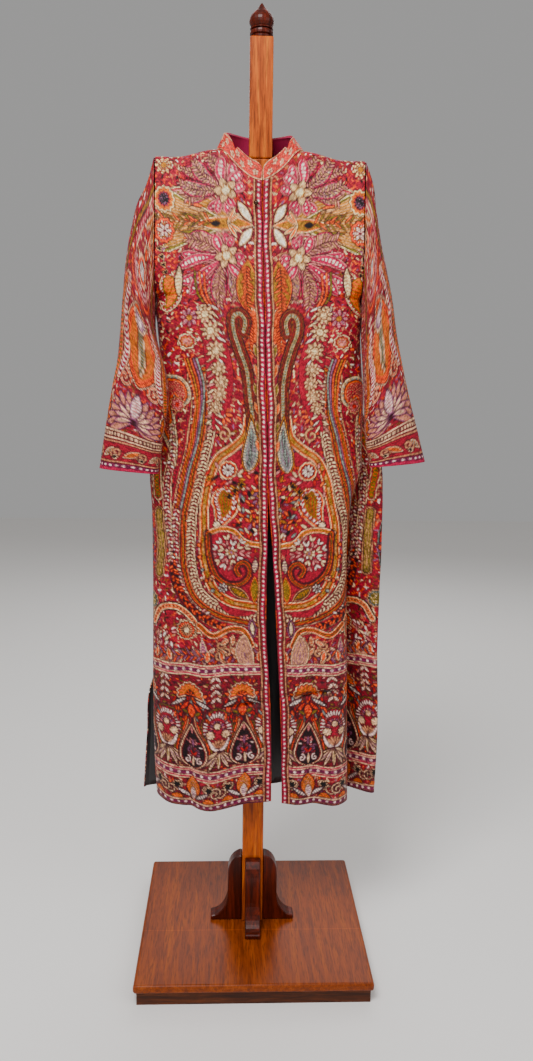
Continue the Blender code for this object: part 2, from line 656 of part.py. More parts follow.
def build_post(wood):
    """The lower post with its slot for the arm, the arm, and the upper post with its turned finial."""
    half = POST_SIDE / 2
    lower = block((-half, -half, BASE_TOP + CLEARANCE), (half, half, ARM_TOP))
    post = solid_object("post_lower", lower, wood, bevel=POST_CHAMFER)
    slot_half = ARM_THICKNESS / 2 + CLEARANCE
    low = (-POST_SIDE, -slot_half, ARM_TOP - ARM_HEIGHT - CLEARANCE)
    slot = solid_object("arm_slot", block(low, (POST_SIDE, slot_half, ARM_TOP + ARM_HEIGHT)), wood)
    slot.hide_render = True
    slot.display_type = "WIRE"
    cut = post.modifiers.new("Slot for the arm", "BOOLEAN")
    cut.operation = "DIFFERENCE"
    cut.object = slot
    low = (-ARM_LENGTH / 2, -ARM_THICKNESS / 2, ARM_TOP - ARM_HEIGHT)
    arm = block(low, (ARM_LENGTH / 2, ARM_THICKNESS / 2, ARM_TOP))
    solid_object("cross_arm", arm, wood, bevel=ARM_ROUND, segments=3)
    upper = block((-half, -half, POST_JOINT + CLEARANCE), (half, half, POST_SQUARE_TOP))
    solid_object("post_upper", upper, wood, bevel=POST_CHAMFER)


FINIAL_PROFILE = (
    # radius, height above the square post
    (0.0185, 0.0003), (0.0188, 0.0040), (0.0178, 0.0058), (0.0205, 0.0068), (0.0208, 0.0100),
    (0.0203, 0.0128), (0.0172, 0.0140), (0.0172, 0.0152), (0.0202, 0.0160), (0.0204, 0.0176),
    (0.0176, 0.0186), (0.0196, 0.0215), (0.0215, 0.0250), (0.0220, 0.0290), (0.0212, 0.0335),
    (0.0186, 0.0388), (0.0146, 0.0436), (0.0100, 0.0480), (0.0062, 0.0524), (0.0036, 0.0562),
    (0.0014, 0.0592), (0.0, 0.0600),
)


def build_finial(wood, steps=20):
    """The turned onion on top, spun from its profile."""
    shape = bmesh.new()
    rings = []
    for radius, height in FINIAL_PROFILE:
        z = POST_SQUARE_TOP + height
        if radius == 0.0:
            rings.append([shape.verts.new((0.0, 0.0, z))])
            continue
        turns = [2 * math.pi * k / steps for k in range(steps)]
        rings.append([shape.verts.new((radius * math.cos(a), radius * math.sin(a), z)) for a in turns])
    for low, high in zip(rings, rings[1:]):
        for k in range(steps):
            following = (k + 1) % steps
            if len(high) == 1:
                shape.faces.new((low[k], low[following], high[0]))
            else:
                shape.faces.new((low[k], low[following], high[following], high[k]))
    shape.faces.new(rings[0][::-1])
    solid_object("finial", shape, wood).data.shade_smooth()


def bracket_outline():
    """The bell-shaped side of a bracket: (distance from the post, height)."""
    foot = BASE_TOP + CLEARANCE
    shoulder = BRACKET_HEIGHT * 0.27
    outline = [(0.0, foot), (BRACKET_REACH, foot), (BRACKET_REACH, foot + BRACKET_TOE)]
    flare = BRACKET_HEIGHT * 0.34
    for k in range(1, 9):
        angle = math.pi / 2 * k / 8
        x = BRACKET_REACH - (BRACKET_REACH - BRACKET_WAIST) * math.sin(angle) ** 0.9
        outline.append((x, foot + BRACKET_TOE + flare * (1 - math.cos(angle)) ** 0.9))
    for k in range(8):
        angle = math.pi / 2 * k / 7
        z = foot + BRACKET_HEIGHT - shoulder + shoulder * math.sin(angle)
        outline.append((BRACKET_WAIST * max(0.12, math.cos(angle)), z))
    outline.append((0.0, foot + BRACKET_HEIGHT))
    return outline


def build_brackets(wood):
    """Four brackets round the foot of the post."""
    names = ("bracket_left", "bracket_back", "bracket_right", "bracket_front")
    for k, name in enumerate(names):
        shape = prism(bracket_outline(), BRACKET_THICKNESS)
        bmesh.ops.translate(shape, verts=shape.verts, vec=(POST_SIDE / 2 + CLEARANCE, 0.0, 0.0))
        made = solid_object(name, shape, wood, bevel=0.0018, segments=1)
        made.rotation_euler = (0.0, 0.0, math.pi / 2 * k)


def build_body(cloth, lining):
    """The two fronts, the back and the back's lining; gives the neck's edge."""
    right = panel(-1, -1, front_shares(-1), RIGHT_FRONT_FOLDS, RIGHT_HEM)
    left = panel(-1, 1, front_shares(1), LEFT_FRONT_FOLDS, LEFT_HEM)
    back = panel(1, 1, back_shares(), BACK_FOLDS, BACK_HEM)
    cloth_object("front_right", *right, cloth)
    cloth_object("front_left", *left, cloth)
    cloth_object("back", *back, cloth)
    points, normals = back
    shell = (points - normals * LINING_DEPTH)[:LINING_ROWS, 1:-LINING_END]
    shell[0] += (shell[1] - shell[0]) * 0.15
    cloth_object("back_lining", shell, normals[:LINING_ROWS, 1:-LINING_END], lining, thickness=LINING)
    return neck_edge(right, back, left)


def build_sleeves(cloth):
    """Both sleeves, open at armhole and cuff."""
    for name, side, rings in (("sleeve_right", -1, RIGHT_RINGS), ("sleeve_left", 1, LEFT_RINGS)):
        grid = sleeve(side, rings, SLEEVE_ROWS, SLEEVE_COLUMNS)
        centres = grid.mean(axis=1, keepdims=True)
        cloth_object(name, grid, grid_normals(grid, centres, closed=True), cloth, closed=True)


def build_collar(edge, cloth, lining):
    """The stand collar and the plain lining inside it."""
    grid = collar(*edge)
    normals = grid_normals(grid, np.array([0.0, 0.0, 1.5]))
    cloth_object("collar", grid, normals, cloth)
    inner = (grid - normals * LINING_DEPTH)[:, 3:-3]
    inner[-1, :, 2] -= 0.002
    cloth_object("collar_lining", inner, normals[:, 3:-3], lining, thickness=LINING)


def build_button(metal):
    """The ball button at the neck, just in front of the right front."""
    x, z = BUTTON_PLACE
    y = face_y(z, x, -1) - CLOTH / 2 - CLEARANCE - BUTTON_RADIUS
    shape = bmesh.new()
    bmesh.ops.create_uvsphere(shape, u_segments=12, v_segments=8, radius=BUTTON_RADIUS)
    made = solid_object("button", shape, metal)
    made.location = (x, y, z)


def main():
    """Clears the scene and builds the stand and the jacket."""
    for old in list(bpy.data.objects):
        bpy.data.objects.remove(old, do_unlink=True)
    wood = material("Polished wood", (0.25, 0.085, 0.025), 0.35)
    cloth = material("Embroidered wool", (0.42, 0.05, 0.06), 0.85)
    collar_cloth = material("Coral collar cloth", (0.72, 0.18, 0.15), 0.85)
    lining = material("Silk lining", (0.35, 0.01, 0.09), 0.5)
    metal = material("Dark metal", (0.12, 0.10, 0.09), 0.35, 0.9)
    build_base(wood)
    build_post(wood)
    build_finial(wood)
    build_brackets(wood)
    edge = build_body(cloth, lining)
    build_sleeves(cloth)
    build_collar(edge, collar_cloth, lining)
    build_button(metal)


main()
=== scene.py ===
"""Looks of a long embroidered jacket on its wooden display stand.

Each piece of cloth is a fine sheet laid on the form of its CAD solid. Its embroidery is sewn by the Needle
class: motifs are worked out in the cloth's own flat millimetres and give each stitch its colour and height.
"""

import logging
import math
from collections.abc import Sequence
from dataclasses import dataclass, field
from enum import Enum
import bmesh
import bpy
import numpy as np
from mathutils import Matrix, Vector


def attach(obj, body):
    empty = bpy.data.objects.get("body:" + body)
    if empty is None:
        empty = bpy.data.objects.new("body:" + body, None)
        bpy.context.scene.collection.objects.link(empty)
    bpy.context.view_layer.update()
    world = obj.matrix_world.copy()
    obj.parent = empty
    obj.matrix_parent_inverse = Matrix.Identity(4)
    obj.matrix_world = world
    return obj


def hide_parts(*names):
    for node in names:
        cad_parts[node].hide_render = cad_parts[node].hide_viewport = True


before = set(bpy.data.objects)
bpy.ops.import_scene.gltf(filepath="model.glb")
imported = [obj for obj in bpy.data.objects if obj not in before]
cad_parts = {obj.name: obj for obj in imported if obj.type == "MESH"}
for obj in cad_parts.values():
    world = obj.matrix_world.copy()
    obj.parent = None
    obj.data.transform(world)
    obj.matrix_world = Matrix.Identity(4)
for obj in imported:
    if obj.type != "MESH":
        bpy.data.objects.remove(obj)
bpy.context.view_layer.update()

LOG = logging.getLogger("jacket")
Array = np.ndarray
Point = tuple[float, float]
Path = Sequence[Point]
MM = 0.001


def linear(hex_colour: str) -> Array:
    """Turns an sRGB hex colour such as "A3122F" into linear red, green and blue."""
    channels = np.array([int(hex_colour[k:k + 2], 16) / 255 for k in (0, 2, 4)])
    return np.where(channels <= 0.04045, channels / 12.92, ((channels + 0.055) / 1.055) ** 2.4)


def add_node(
    tree: bpy.types.NodeTree, kind: str, values: dict | None = None, links: dict | None = None,
    **settings: object
) -> bpy.types.Node:
    """Adds a node with its settings, its sockets' values and the links into it.

    Args:
        tree: The node tree.
        kind: Blender's name for the node, without its usual first part, ShaderNode.
        values: Input sockets to set, by name or number.
        links: Input sockets to link, with the output socket each one takes.
        settings: Properties of the node.

    Returns:
        The node.
    """
    made = tree.nodes.new("ShaderNode" + kind)
    for name, setting in settings.items():
        setattr(made, name, setting)
    set_inputs(made, values or {}, links or {})
    return made


def set_inputs(node: bpy.types.Node, values: dict, links: dict) -> None:
    """Sets values on a node's input sockets and links others to the output sockets given for them.

    Args:
        node: The node.
        values: Input sockets to set, by name or number.
        links: Input sockets to link, with the output socket each one takes.
    """
    for socket, value in values.items():
        node.inputs[socket].default_value = value
    for socket, source in links.items():
        node.id_data.links.new(source, node.inputs[socket])


def new_finish(name: str) -> tuple[bpy.types.Material, bpy.types.NodeTree, bpy.types.Node]:
    """Starts a material and gives it with its node tree and its shader."""
    made = bpy.data.materials.new(name)
    made.use_nodes = True
    return made, made.node_tree, made.node_tree.nodes["Principled BSDF"]


def unit(x: Array | float) -> Array:
    """Holds values between 0 and 1."""
    return np.clip(x, 0.0, 1.0)


def ease(t: Array | float) -> Array:
    """Runs from 0 to 1 with flat ends."""
    t = unit(t)
    return t * t * (3 - 2 * t)


@dataclass(frozen=True)
class Curve:
    """A smooth curve through (place, value) rows."""

    rows: tuple[Point, ...]

    def at(self, places: Array | float) -> Array:
        """Reads the curve, held level past both ends.

        Args:
            places: Where to read it.

        Returns:
            The values there.
        """
        x, y = np.array(self.rows, float).T
        slope = np.gradient(y, x)
        p = np.clip(places, x[0], x[-1])
        k = np.clip(np.searchsorted(x, p) - 1, 0, len(x) - 2)
        span = x[k + 1] - x[k]
        t = (p - x[k]) / span
        ends = y[k] * (2 * t**3 - 3 * t**2 + 1) + y[k + 1] * (3 * t**2 - 2 * t**3)
        return ends + span * (slope[k] * (t**3 - 2 * t**2 + t) + slope[k + 1] * (t**3 - t**2))


class Side(Enum):
    """The wearer's side of a piece, as the sign of its X."""

    RIGHT = -1
    LEFT = 1


class Face(Enum):
    """Which way a panel looks, as the sign of its Y."""

    FRONT = -1
    BACK = 1


class Grain(Enum):
    """The way the wood's grain runs, as the stretch of its pattern along X, Y and Z."""

    ALONG_X = (0.06, 1.0, 1.0)
    ALONG_Y = (1.0, 0.06, 1.0)
    ALONG_Z = (1.0, 1.0, 0.06)


@dataclass(frozen=True)
class Crease:
    """A soft crease: its points on the flat cloth, its half width and its height, in mm."""

    path: tuple[Point, ...]
    half_width: float
    height: float

    def over(self, flat: Array) -> Array:
        """Works out how far the crease stands out.

        Args:
            flat: Each point's place on the flat cloth, in metres.

        Returns:
            Its height at each point, in metres, with soft ends.
        """
        along, aside = path_distance(flat[..., 0] / MM, flat[..., 1] / MM, self.path)
        length = sum(math.dist(a, b) for a, b in zip(self.path, self.path[1:]))
        ends = np.sin(math.pi * np.clip(along / length, 0.02, 0.98)) ** 0.7
        return self.height * MM * np.exp(-((aside / self.half_width) ** 2)) * ends


@dataclass(frozen=True)
class Fold:
    """A hanging fold: its place across the panel, half width, distance out, foot and head."""

    across: float
    half_width: float
    depth: float
    foot: float
    head: float


@dataclass(frozen=True)
class BodyForm:
    """The hollow form that the fronts and the back lie on, in metres."""

    underarm: float = 1.262
    armhole_x: float = 0.185
    armhole_round: float = 0.068
    armhole_power: float = 2.2
    shoulder_top: float = 1.4996
    shoulder_rise: float = 0.0135
    shoulder_slope: Point = (0.150, 0.070)
    roll: float = 0.016
    roll_length: float = 0.032
    roll_power: float = 2.4
    neck_half: float = 0.078
    neck_drop: float = 0.0725
    back_neck_rise: float = 0.015
    back_neck_drop: float = 0.031
    fullness: float = 0.012
    fullness_half: float = 0.12
    fullness_rise: Point = (1.37, 0.09)
    back_fullness: float = 1.6
    body_top: float = 1.410
    blend_from: float = 1.330
    lobe_top: float = 1.085
    seam: float = 0.0004
    front_y: Curve = Curve((
        (0.28, -0.054), (0.6, -0.052), (0.9, -0.05), (1.1, -0.047),
        (1.26, -0.043), (1.36, -0.036), (1.44, -0.027), (1.5, -0.0225),
    ))
    back_y: Curve = Curve((
        (0.28, 0.052), (0.6, 0.048), (0.9, 0.045), (1.1, 0.043),
        (1.26, 0.04), (1.36, 0.034), (1.44, 0.027), (1.5, 0.0225),
    ))
    right_edge_x: Curve = Curve((
        (0.3, 0.0338), (0.42, 0.0323), (0.51, 0.0292), (0.57, 0.0254), (0.63, 0.0207),
        (0.72, 0.0194), (0.82, 0.0202), (0.9, 0.0196), (1.2, 0.0105), (1.45, 0.0016),
    ))
    front_gap: Curve = Curve((
        (0.3, 0.0198), (0.4, 0.0188), (0.49, 0.0182), (0.55, 0.018), (0.65, 0.0188),
        (0.72, 0.0153), (0.82, 0.0074), (0.9, 0.001), (1, 0.0006), (1.45, 0.0006),
    ))
    right_side_x: Curve = Curve((
        (0.3, -0.1885), (0.38, -0.1926), (0.54, -0.195), (0.75, -0.194), (0.88, -0.1955),
        (0.94, -0.199), (0.98, -0.198), (1.05, -0.19), (1.1, -0.182),
        (1.15, -0.1785), (1.2, -0.1825), (1.262, -0.1846),
    ))
    left_side_x: Curve = Curve((
        (0.3, 0.185), (0.51, 0.179), (0.61, 0.176), (0.75, 0.172), (0.83, 0.172),
        (0.9, 0.179), (0.957, 0.195), (1, 0.196), (1.04, 0.195), (1.1, 0.1925),
        (1.17, 0.188), (1.22, 0.1855), (1.262, 0.1846),
    ))
    left_valley_y: Curve = Curve((
        (0.3, 0.027), (0.82, 0.024), (0.9, 0.019), (0.957, 0.012),
        (1.04, 0.004), (1.1, 0), (1.262, 0),
    ))
    left_lobe: Curve = Curve((
        (0.3, 0.056), (0.43, 0.0625), (0.5, 0.063), (0.59, 0.062), (0.71, 0.066),
        (0.83, 0.0675), (0.9, 0.06), (0.957, 0.04), (0.985, 0.031), (1.01, 0.021),
        (1.035, 0.011), (1.06, 0.003), (1.09, 0), (1.262, 0),
    ))
    slit_spread: Curve = Curve(((0.3, 0.03), (0.42, 0.016), (0.52, 0.0075), (0.545, 0), (0.6, 0)))
    slit_depth: Curve = Curve(((0.3, 0.03), (0.42, 0.018), (0.52, 0.006), (0.545, 0), (0.6, 0)))

    def shoulder(self, x: Array, face: Face) -> Array:
        """Gives the height of the cloth's middle along the top of the shoulder."""
        start, run = self.shoulder_slope
        height = self.shoulder_top + self.shoulder_rise * ease((start - np.abs(x)) / run)
        if face is Face.BACK:
            height = height + self.back_neck_rise * np.maximum(0.0, 1 - (x / self.neck_half) ** 2)
        return height

    def depth(self, z: Array, x: Array, face: Face) -> Array:
        """Gives the Y of the front or the back, with the fullness under the collar."""
        level = (self.front_y if face is Face.FRONT else self.back_y).at(z)
        foot, run = self.fullness_rise
        bell = np.maximum(0.0, 1 - (x / self.fullness_half) ** 2) ** 2
        full = self.fullness * bell * ease((z - foot) / run)
        return level + face.value * full * (1.0 if face is Face.FRONT else self.back_fullness)

    def armhole_depth(self, z: float, face: Face) -> float:
        """Gives how far the armhole's edge stands from its middle, closing in a round at the underarm."""
        bottom = self.underarm + self.armhole_round
        if z >= bottom:
            return float(self.depth(z, self.armhole_x, face))
        share = min(1.0, (bottom - z) / self.armhole_round)
        power = self.armhole_power
        return float(self.depth(bottom, self.armhole_x, face)) * (1 - share**power) ** (1 / power)

    def centre_edge(self, side: Side, z: Array) -> Array:
        """Gives where a front's centre edge lies across the body."""
        edge = self.right_edge_x.at(z)
        return edge if side is Side.RIGHT else edge + np.maximum(0.0006, self.front_gap.at(z))

    def front_line(self, side: Side, z: float) -> Array:
        """Gives a front's section at a height, from its centre edge to its side edge."""
        start = (float(self.centre_edge(side, z)), float(self.front_y.at(z)))
        if z >= self.underarm:
            return rounded(start, (side.value * self.armhole_x, self.armhole_depth(z, Face.FRONT)), 3.0)
        power = 3.0 - 0.5 * ease((self.underarm - z) / 0.20)
        if side is Side.RIGHT:
            return rounded(start, (float(self.right_side_x.at(z)), 0.0), power)
        power += 3.5 * ease((1.04 - z) / 0.16)
        return rounded(start, (float(self.left_side_x.at(z)), float(self.left_valley_y.at(z))), power)

    def side_turn(self, start: Point, valley: Point, hook: float) -> Array:
        """Gives the side fold's way from its outermost point forward and back in to the front's edge."""
        a, d = np.array(start), np.array(valley)
        turn = d + np.array([0.0, 0.0032])
        reach = math.dist(a, turn)
        t = np.linspace(0.0, 1.0, 40)[1:, None]
        b = a + np.array([0.0, -0.40 * reach * hook])
        c = turn + np.array([0.0, min(0.45 * reach, 0.014) * hook])
        bend = a * (1 - t) ** 3 + 3 * b * t * (1 - t) ** 2 + 3 * c * t**2 * (1 - t) + turn * t**3
        return np.concatenate([bend, [d]])

    def back_line(self, z: float) -> Array:
        """Gives the back's section at a height, from the wearer's right round to the wearer's left."""
        middle = (0.0, float(self.back_y.at(z)))
        if z >= self.underarm:
            depth = self.armhole_depth(z, Face.BACK)
            halves = [rounded(middle, (side * self.armhole_x, depth), 3.0) for side in (-1, 1)]
            return np.concatenate([halves[0][::-1], halves[1][1:]])
        spread = max(0.0, float(self.slit_spread.at(z)))
        free = (float(self.right_side_x.at(z)) - spread, max(0.0, float(self.slit_depth.at(z))))
        right = rounded(middle, free, 2.6)[::-1]
        lobe = max(0.0, float(self.left_lobe.at(z))) if z < self.lobe_top else 0.0
        valley = (float(self.left_side_x.at(z)), float(self.left_valley_y.at(z)))
        if lobe < 0.0005:
            return np.concatenate([right, rounded(middle, valley, 3.0)[1:]])
        hook = float(ease(lobe / 0.045))
        wrap = (valley[0] + lobe, (valley[1] + 0.016) * (1 - hook) + 0.004 * hook)
        return np.concatenate([right, rounded(middle, wrap, 3.0)[1:], self.side_turn(wrap, valley, hook)])

    def line(self, face: Face, side: Side, z: float) -> Array:
        """Gives the section of a panel at a height."""
        return self.front_line(side, z) if face is Face.FRONT else self.back_line(z)

    def rolled(self, x: Array, level: Array, face: Face) -> Array:
        """Follows the cloth up the body and over the shoulder by its length along the cloth."""
        start = self.shoulder(x, face) - self.roll
        angle = math.pi / 2 * unit((level - start) / self.roll_length)
        power = 2 / self.roll_power
        y = self.depth(np.minimum(level, start), x, face) * np.maximum(np.cos(angle), 0.0) ** power
        z = np.where(level <= start, level, start + self.roll * np.sin(angle) ** power)
        return np.stack([x, y, z], axis=-1)

    def top_level(self, x: Array, face: Face) -> Array:
        """Gives the level at which the cloth ends, at the shoulder seam or the neck."""
        share = unit(np.abs(x) / self.neck_half)
        if face is Face.FRONT:
            cut = self.neck_drop * (1 - share**1.7)
        else:
            cut = self.back_neck_drop * (1 - share**2.2)
        return self.shoulder(x, face) - self.roll + self.roll_length - cut - self.seam / 2

    def place(self, face: Face, side: Side, shares: Array, levels: Array) -> tuple[Array, Array]:
        """Places points of a panel by their share of its width and their level.

        Args:
            face: The panel's face.
            side: The panel's side.
            shares: One share for each column, from 0 to 1.
            levels: The level of each point, one row of columns after another.

        Returns:
            The points, and each point's distance along its section, in metres.
        """
        heights = np.linspace(0.284, self.body_top, 600)
        table = np.empty((len(heights), len(shares), 3))
        for k, z in enumerate(heights):
            line = self.line(face, side, float(z))
            steps = steps_along(line)
            at = self.seam / 2 + shares * (steps[-1] - self.seam)
            table[k, :, 0] = np.interp(at, steps, line[:, 0])
            table[k, :, 1] = np.interp(at, steps, line[:, 1])
            table[k, :, 2] = at
        low = np.minimum(levels, self.body_top)
        where = np.clip((low - heights[0]) / (heights[1] - heights[0]), 0.0, len(heights) - 1.001)
        k = where.astype(int)
        t = (where - k)[..., None]
        columns = np.arange(len(shares))[None, :]
        section = table[k, columns] * (1 - t) + table[k + 1, columns] * t
        body = np.concatenate([section[..., :2], levels[..., None]], axis=-1)
        blend = ease((levels - self.blend_from) / (self.body_top - self.blend_from))[..., None]
        points = body * (1 - blend) + self.rolled(section[..., 0], levels, face) * blend
        return points, section[..., 2]


def steps_along(line: Array) -> Array:
    """Measures how far along a line each of its points lies."""
    return np.concatenate([[0.0], np.cumsum(np.linalg.norm(np.diff(line, axis=0), axis=1))])


def rounded(start: Point, end: Point, power: float) -> Array:
    """Draws a rounded quarter from start, leaving along X, to end, arriving along Y."""
    angle = np.linspace(0.0, math.pi / 2, 48)
    x = start[0] + (end[0] - start[0]) * np.sin(angle) ** (2 / power)
    y = end[1] + (start[1] - end[1]) * np.maximum(np.cos(angle), 0.0) ** (2 / power)
    return np.stack([x, y], axis=1)


def path_distance(u: Array, w: Array, path: Path) -> tuple[Array, Array]:
    """Measures points of the flat cloth against a line of points on it.

    Args:
        u: Places across the cloth.
        w: Places up the cloth.
        path: The line's points.

    Returns:
        How far along the line each point lies and how far to its left, which is negative on its right.
    """
    line = np.array(path, float)
    best = np.full(u.shape, np.inf)
    along = np.zeros(u.shape)
    aside = np.zeros(u.shape)
    walked = 0.0
    for a, b in zip(line, line[1:]):
        way = b - a
        length = math.hypot(*way)
        way = way / length
        du, dw = u - a[0], w - a[1]
        t = np.clip(du * way[0] + dw * way[1], 0.0, length)
        off_u, off_w = du - t * way[0], dw - t * way[1]
        square = off_u**2 + off_w**2
        nearer = square < best
        best = np.where(nearer, square, best)
        along = np.where(nearer, walked + t, along)
        left = np.where(way[0] * off_w - way[1] * off_u >= 0, 1.0, -1.0)
        aside = np.where(nearer, np.sqrt(square) * left, aside)
        walked += length
    return along, aside


def grid_normals(points: Array, closed: bool = False) -> Array:
    """Gives the unit direction square to a grid at each point, by its columns and then its rows."""
    if closed:
        across = np.roll(points, -1, axis=1) - np.roll(points, 1, axis=1)
    else:
        across = np.gradient(points, axis=1)
    normals = np.cross(across, np.gradient(points, axis=0))
    return normals / np.linalg.norm(normals, axis=2, keepdims=True)


@dataclass
class Dressing:
    """The stitched colour, linear, and the height in metres at each point of a grid."""

    colour: Array
    height: Array


@dataclass
class Shell:
    """A thin wall of cloth to both sides of a fine grid, with a coarser lining side and turned edges.

    The points and normals are grids of rows and columns, and flat gives each point's place on the cut cloth.
    """

    name: str
    points: Array
    normals: Array
    flat: Array
    closed: bool = False
    thickness: float = 0.002
    step: int = 4

    def area(self) -> float:
        """Gives the cloth's own area in square metres."""
        points = np.concatenate([self.points, self.points[:, :1]], axis=1) if self.closed else self.points
        a = points[1:, 1:] - points[:-1, :-1]
        b = points[1:, :-1] - points[:-1, 1:]
        return float(np.linalg.norm(np.cross(a, b), axis=2).sum() / 2)

    def cut(self) -> tuple[float, float]:
        """Gives the width and length of the rectangle that the cloth was cut from."""
        return float(np.ptp(self.flat[..., 0])), float(np.ptp(self.flat[..., 1]))

    def inner_cells(self) -> list[list[tuple[int, int]]]:
        """Lists the lining side's coarse cells, with every point of the edge that they meet."""
        rows, columns = self.points.shape[:2]
        step = self.step
        cells = []
        for r in range(0, rows - 1, step):
            for c in range(0, columns if self.closed else columns - 1, step):
                first, last = (c == 0, c + step == columns - 1) if not self.closed else (False, False)
                low = [(r, c + k) for k in range(step)] if r == 0 else [(r, c)]
                right = [(r + k, c + step) for k in range(step)] if last else [(r, c + step)]
                top = [(r + step, c + step)]
                if r + step == rows - 1:
                    top = [(r + step, c + step - k) for k in range(step)]
                left = [(r + step - k, c) for k in range(step)] if first else [(r + step, c)]
                cells.append([(i, j % columns) for i, j in low + right + top + left])
        return cells

    def rim(self) -> list[list[tuple[int, int]]]:
        """Lists the edges of the grid as lines of points, each with the wall on its left."""
        rows, columns = self.points.shape[:2]
        low = [(0, c) for c in range(columns)]
        top = [(rows - 1, c) for c in range(columns)]
        if self.closed:
            return [low + low[:1], (top + top[:1])[::-1]]
        left = [(r, 0) for r in range(rows)]
        right = [(r, columns - 1) for r in range(rows)]
        return [low, right, top[::-1], left[::-1]]

    def build(
        self, finishes: Sequence[bpy.types.Material], dressing: Dressing | None = None
    ) -> bpy.types.Object:
        """Makes the wall as one closed mesh.

        Args:
            finishes: The outer cloth's material and the lining side's.
            dressing: The stitched colours and heights of the grid's points, if the cloth is embroidered.

        Returns:
            The object.
        """
        rows, columns = self.points.shape[:2]
        half = self.thickness / 2
        outer = self.points + self.normals * half
        if dressing is not None:
            outer = outer + self.normals * dressing.height[..., None]
        cells = self.inner_cells()
        borders = self.rim()
        used = sorted({p for cell in cells for p in cell} | {p for border in borders for p in border})
        index = {p: rows * columns + k for k, p in enumerate(used)}
        inner = np.array([self.points[p] - self.normals[p] * half for p in used])
        across = columns if self.closed else columns - 1
        r, c = np.meshgrid(np.arange(rows - 1), np.arange(across), indexing="ij")
        d = (c + 1) % columns
        quads = [r * columns + c, r * columns + d, (r + 1) * columns + d, (r + 1) * columns + c]
        faces = np.stack(quads, axis=-1).reshape(-1, 4).tolist()
        outer_count = len(faces)
        faces += [[index[p] for p in reversed(cell)] for cell in cells]
        inner_end = len(faces)
        for border in borders:
            for a, b in zip(border, border[1:]):
                faces.append([b[0] * columns + b[1], a[0] * columns + a[1], index[a], index[b]])
        mesh = bpy.data.meshes.new(self.name)
        mesh.from_pydata(np.concatenate([outer.reshape(-1, 3), inner]).tolist(), [], faces)
        slots = np.zeros(len(faces), int)
        slots[outer_count:inner_end] = 1
        mesh.polygons.foreach_set("material_index", slots)
        for finish in finishes:
            mesh.materials.append(finish)
        mesh.shade_smooth()
        flat = np.concatenate([self.flat.reshape(-1, 2), np.array([self.flat[p] for p in used])])
        corners = np.empty(len(mesh.loops), int)
        mesh.loops.foreach_get("vertex_index", corners)
        mesh.uv_layers.new(name="cut").data.foreach_set("uv", flat[corners].ravel())
        if dressing is not None:
            rest = np.array([dressing.colour[p] for p in used])
            colours = np.concatenate([dressing.colour.reshape(-1, 3), rest])
            colours = np.concatenate([colours, np.ones((len(colours), 1))], axis=1)
            thread = mesh.color_attributes.new("thread", "FLOAT_COLOR", "POINT")
            thread.data.foreach_set("color", colours.ravel())
        made = bpy.data.objects.new(self.name, mesh)
        bpy.context.scene.collection.objects.link(made)
        return made


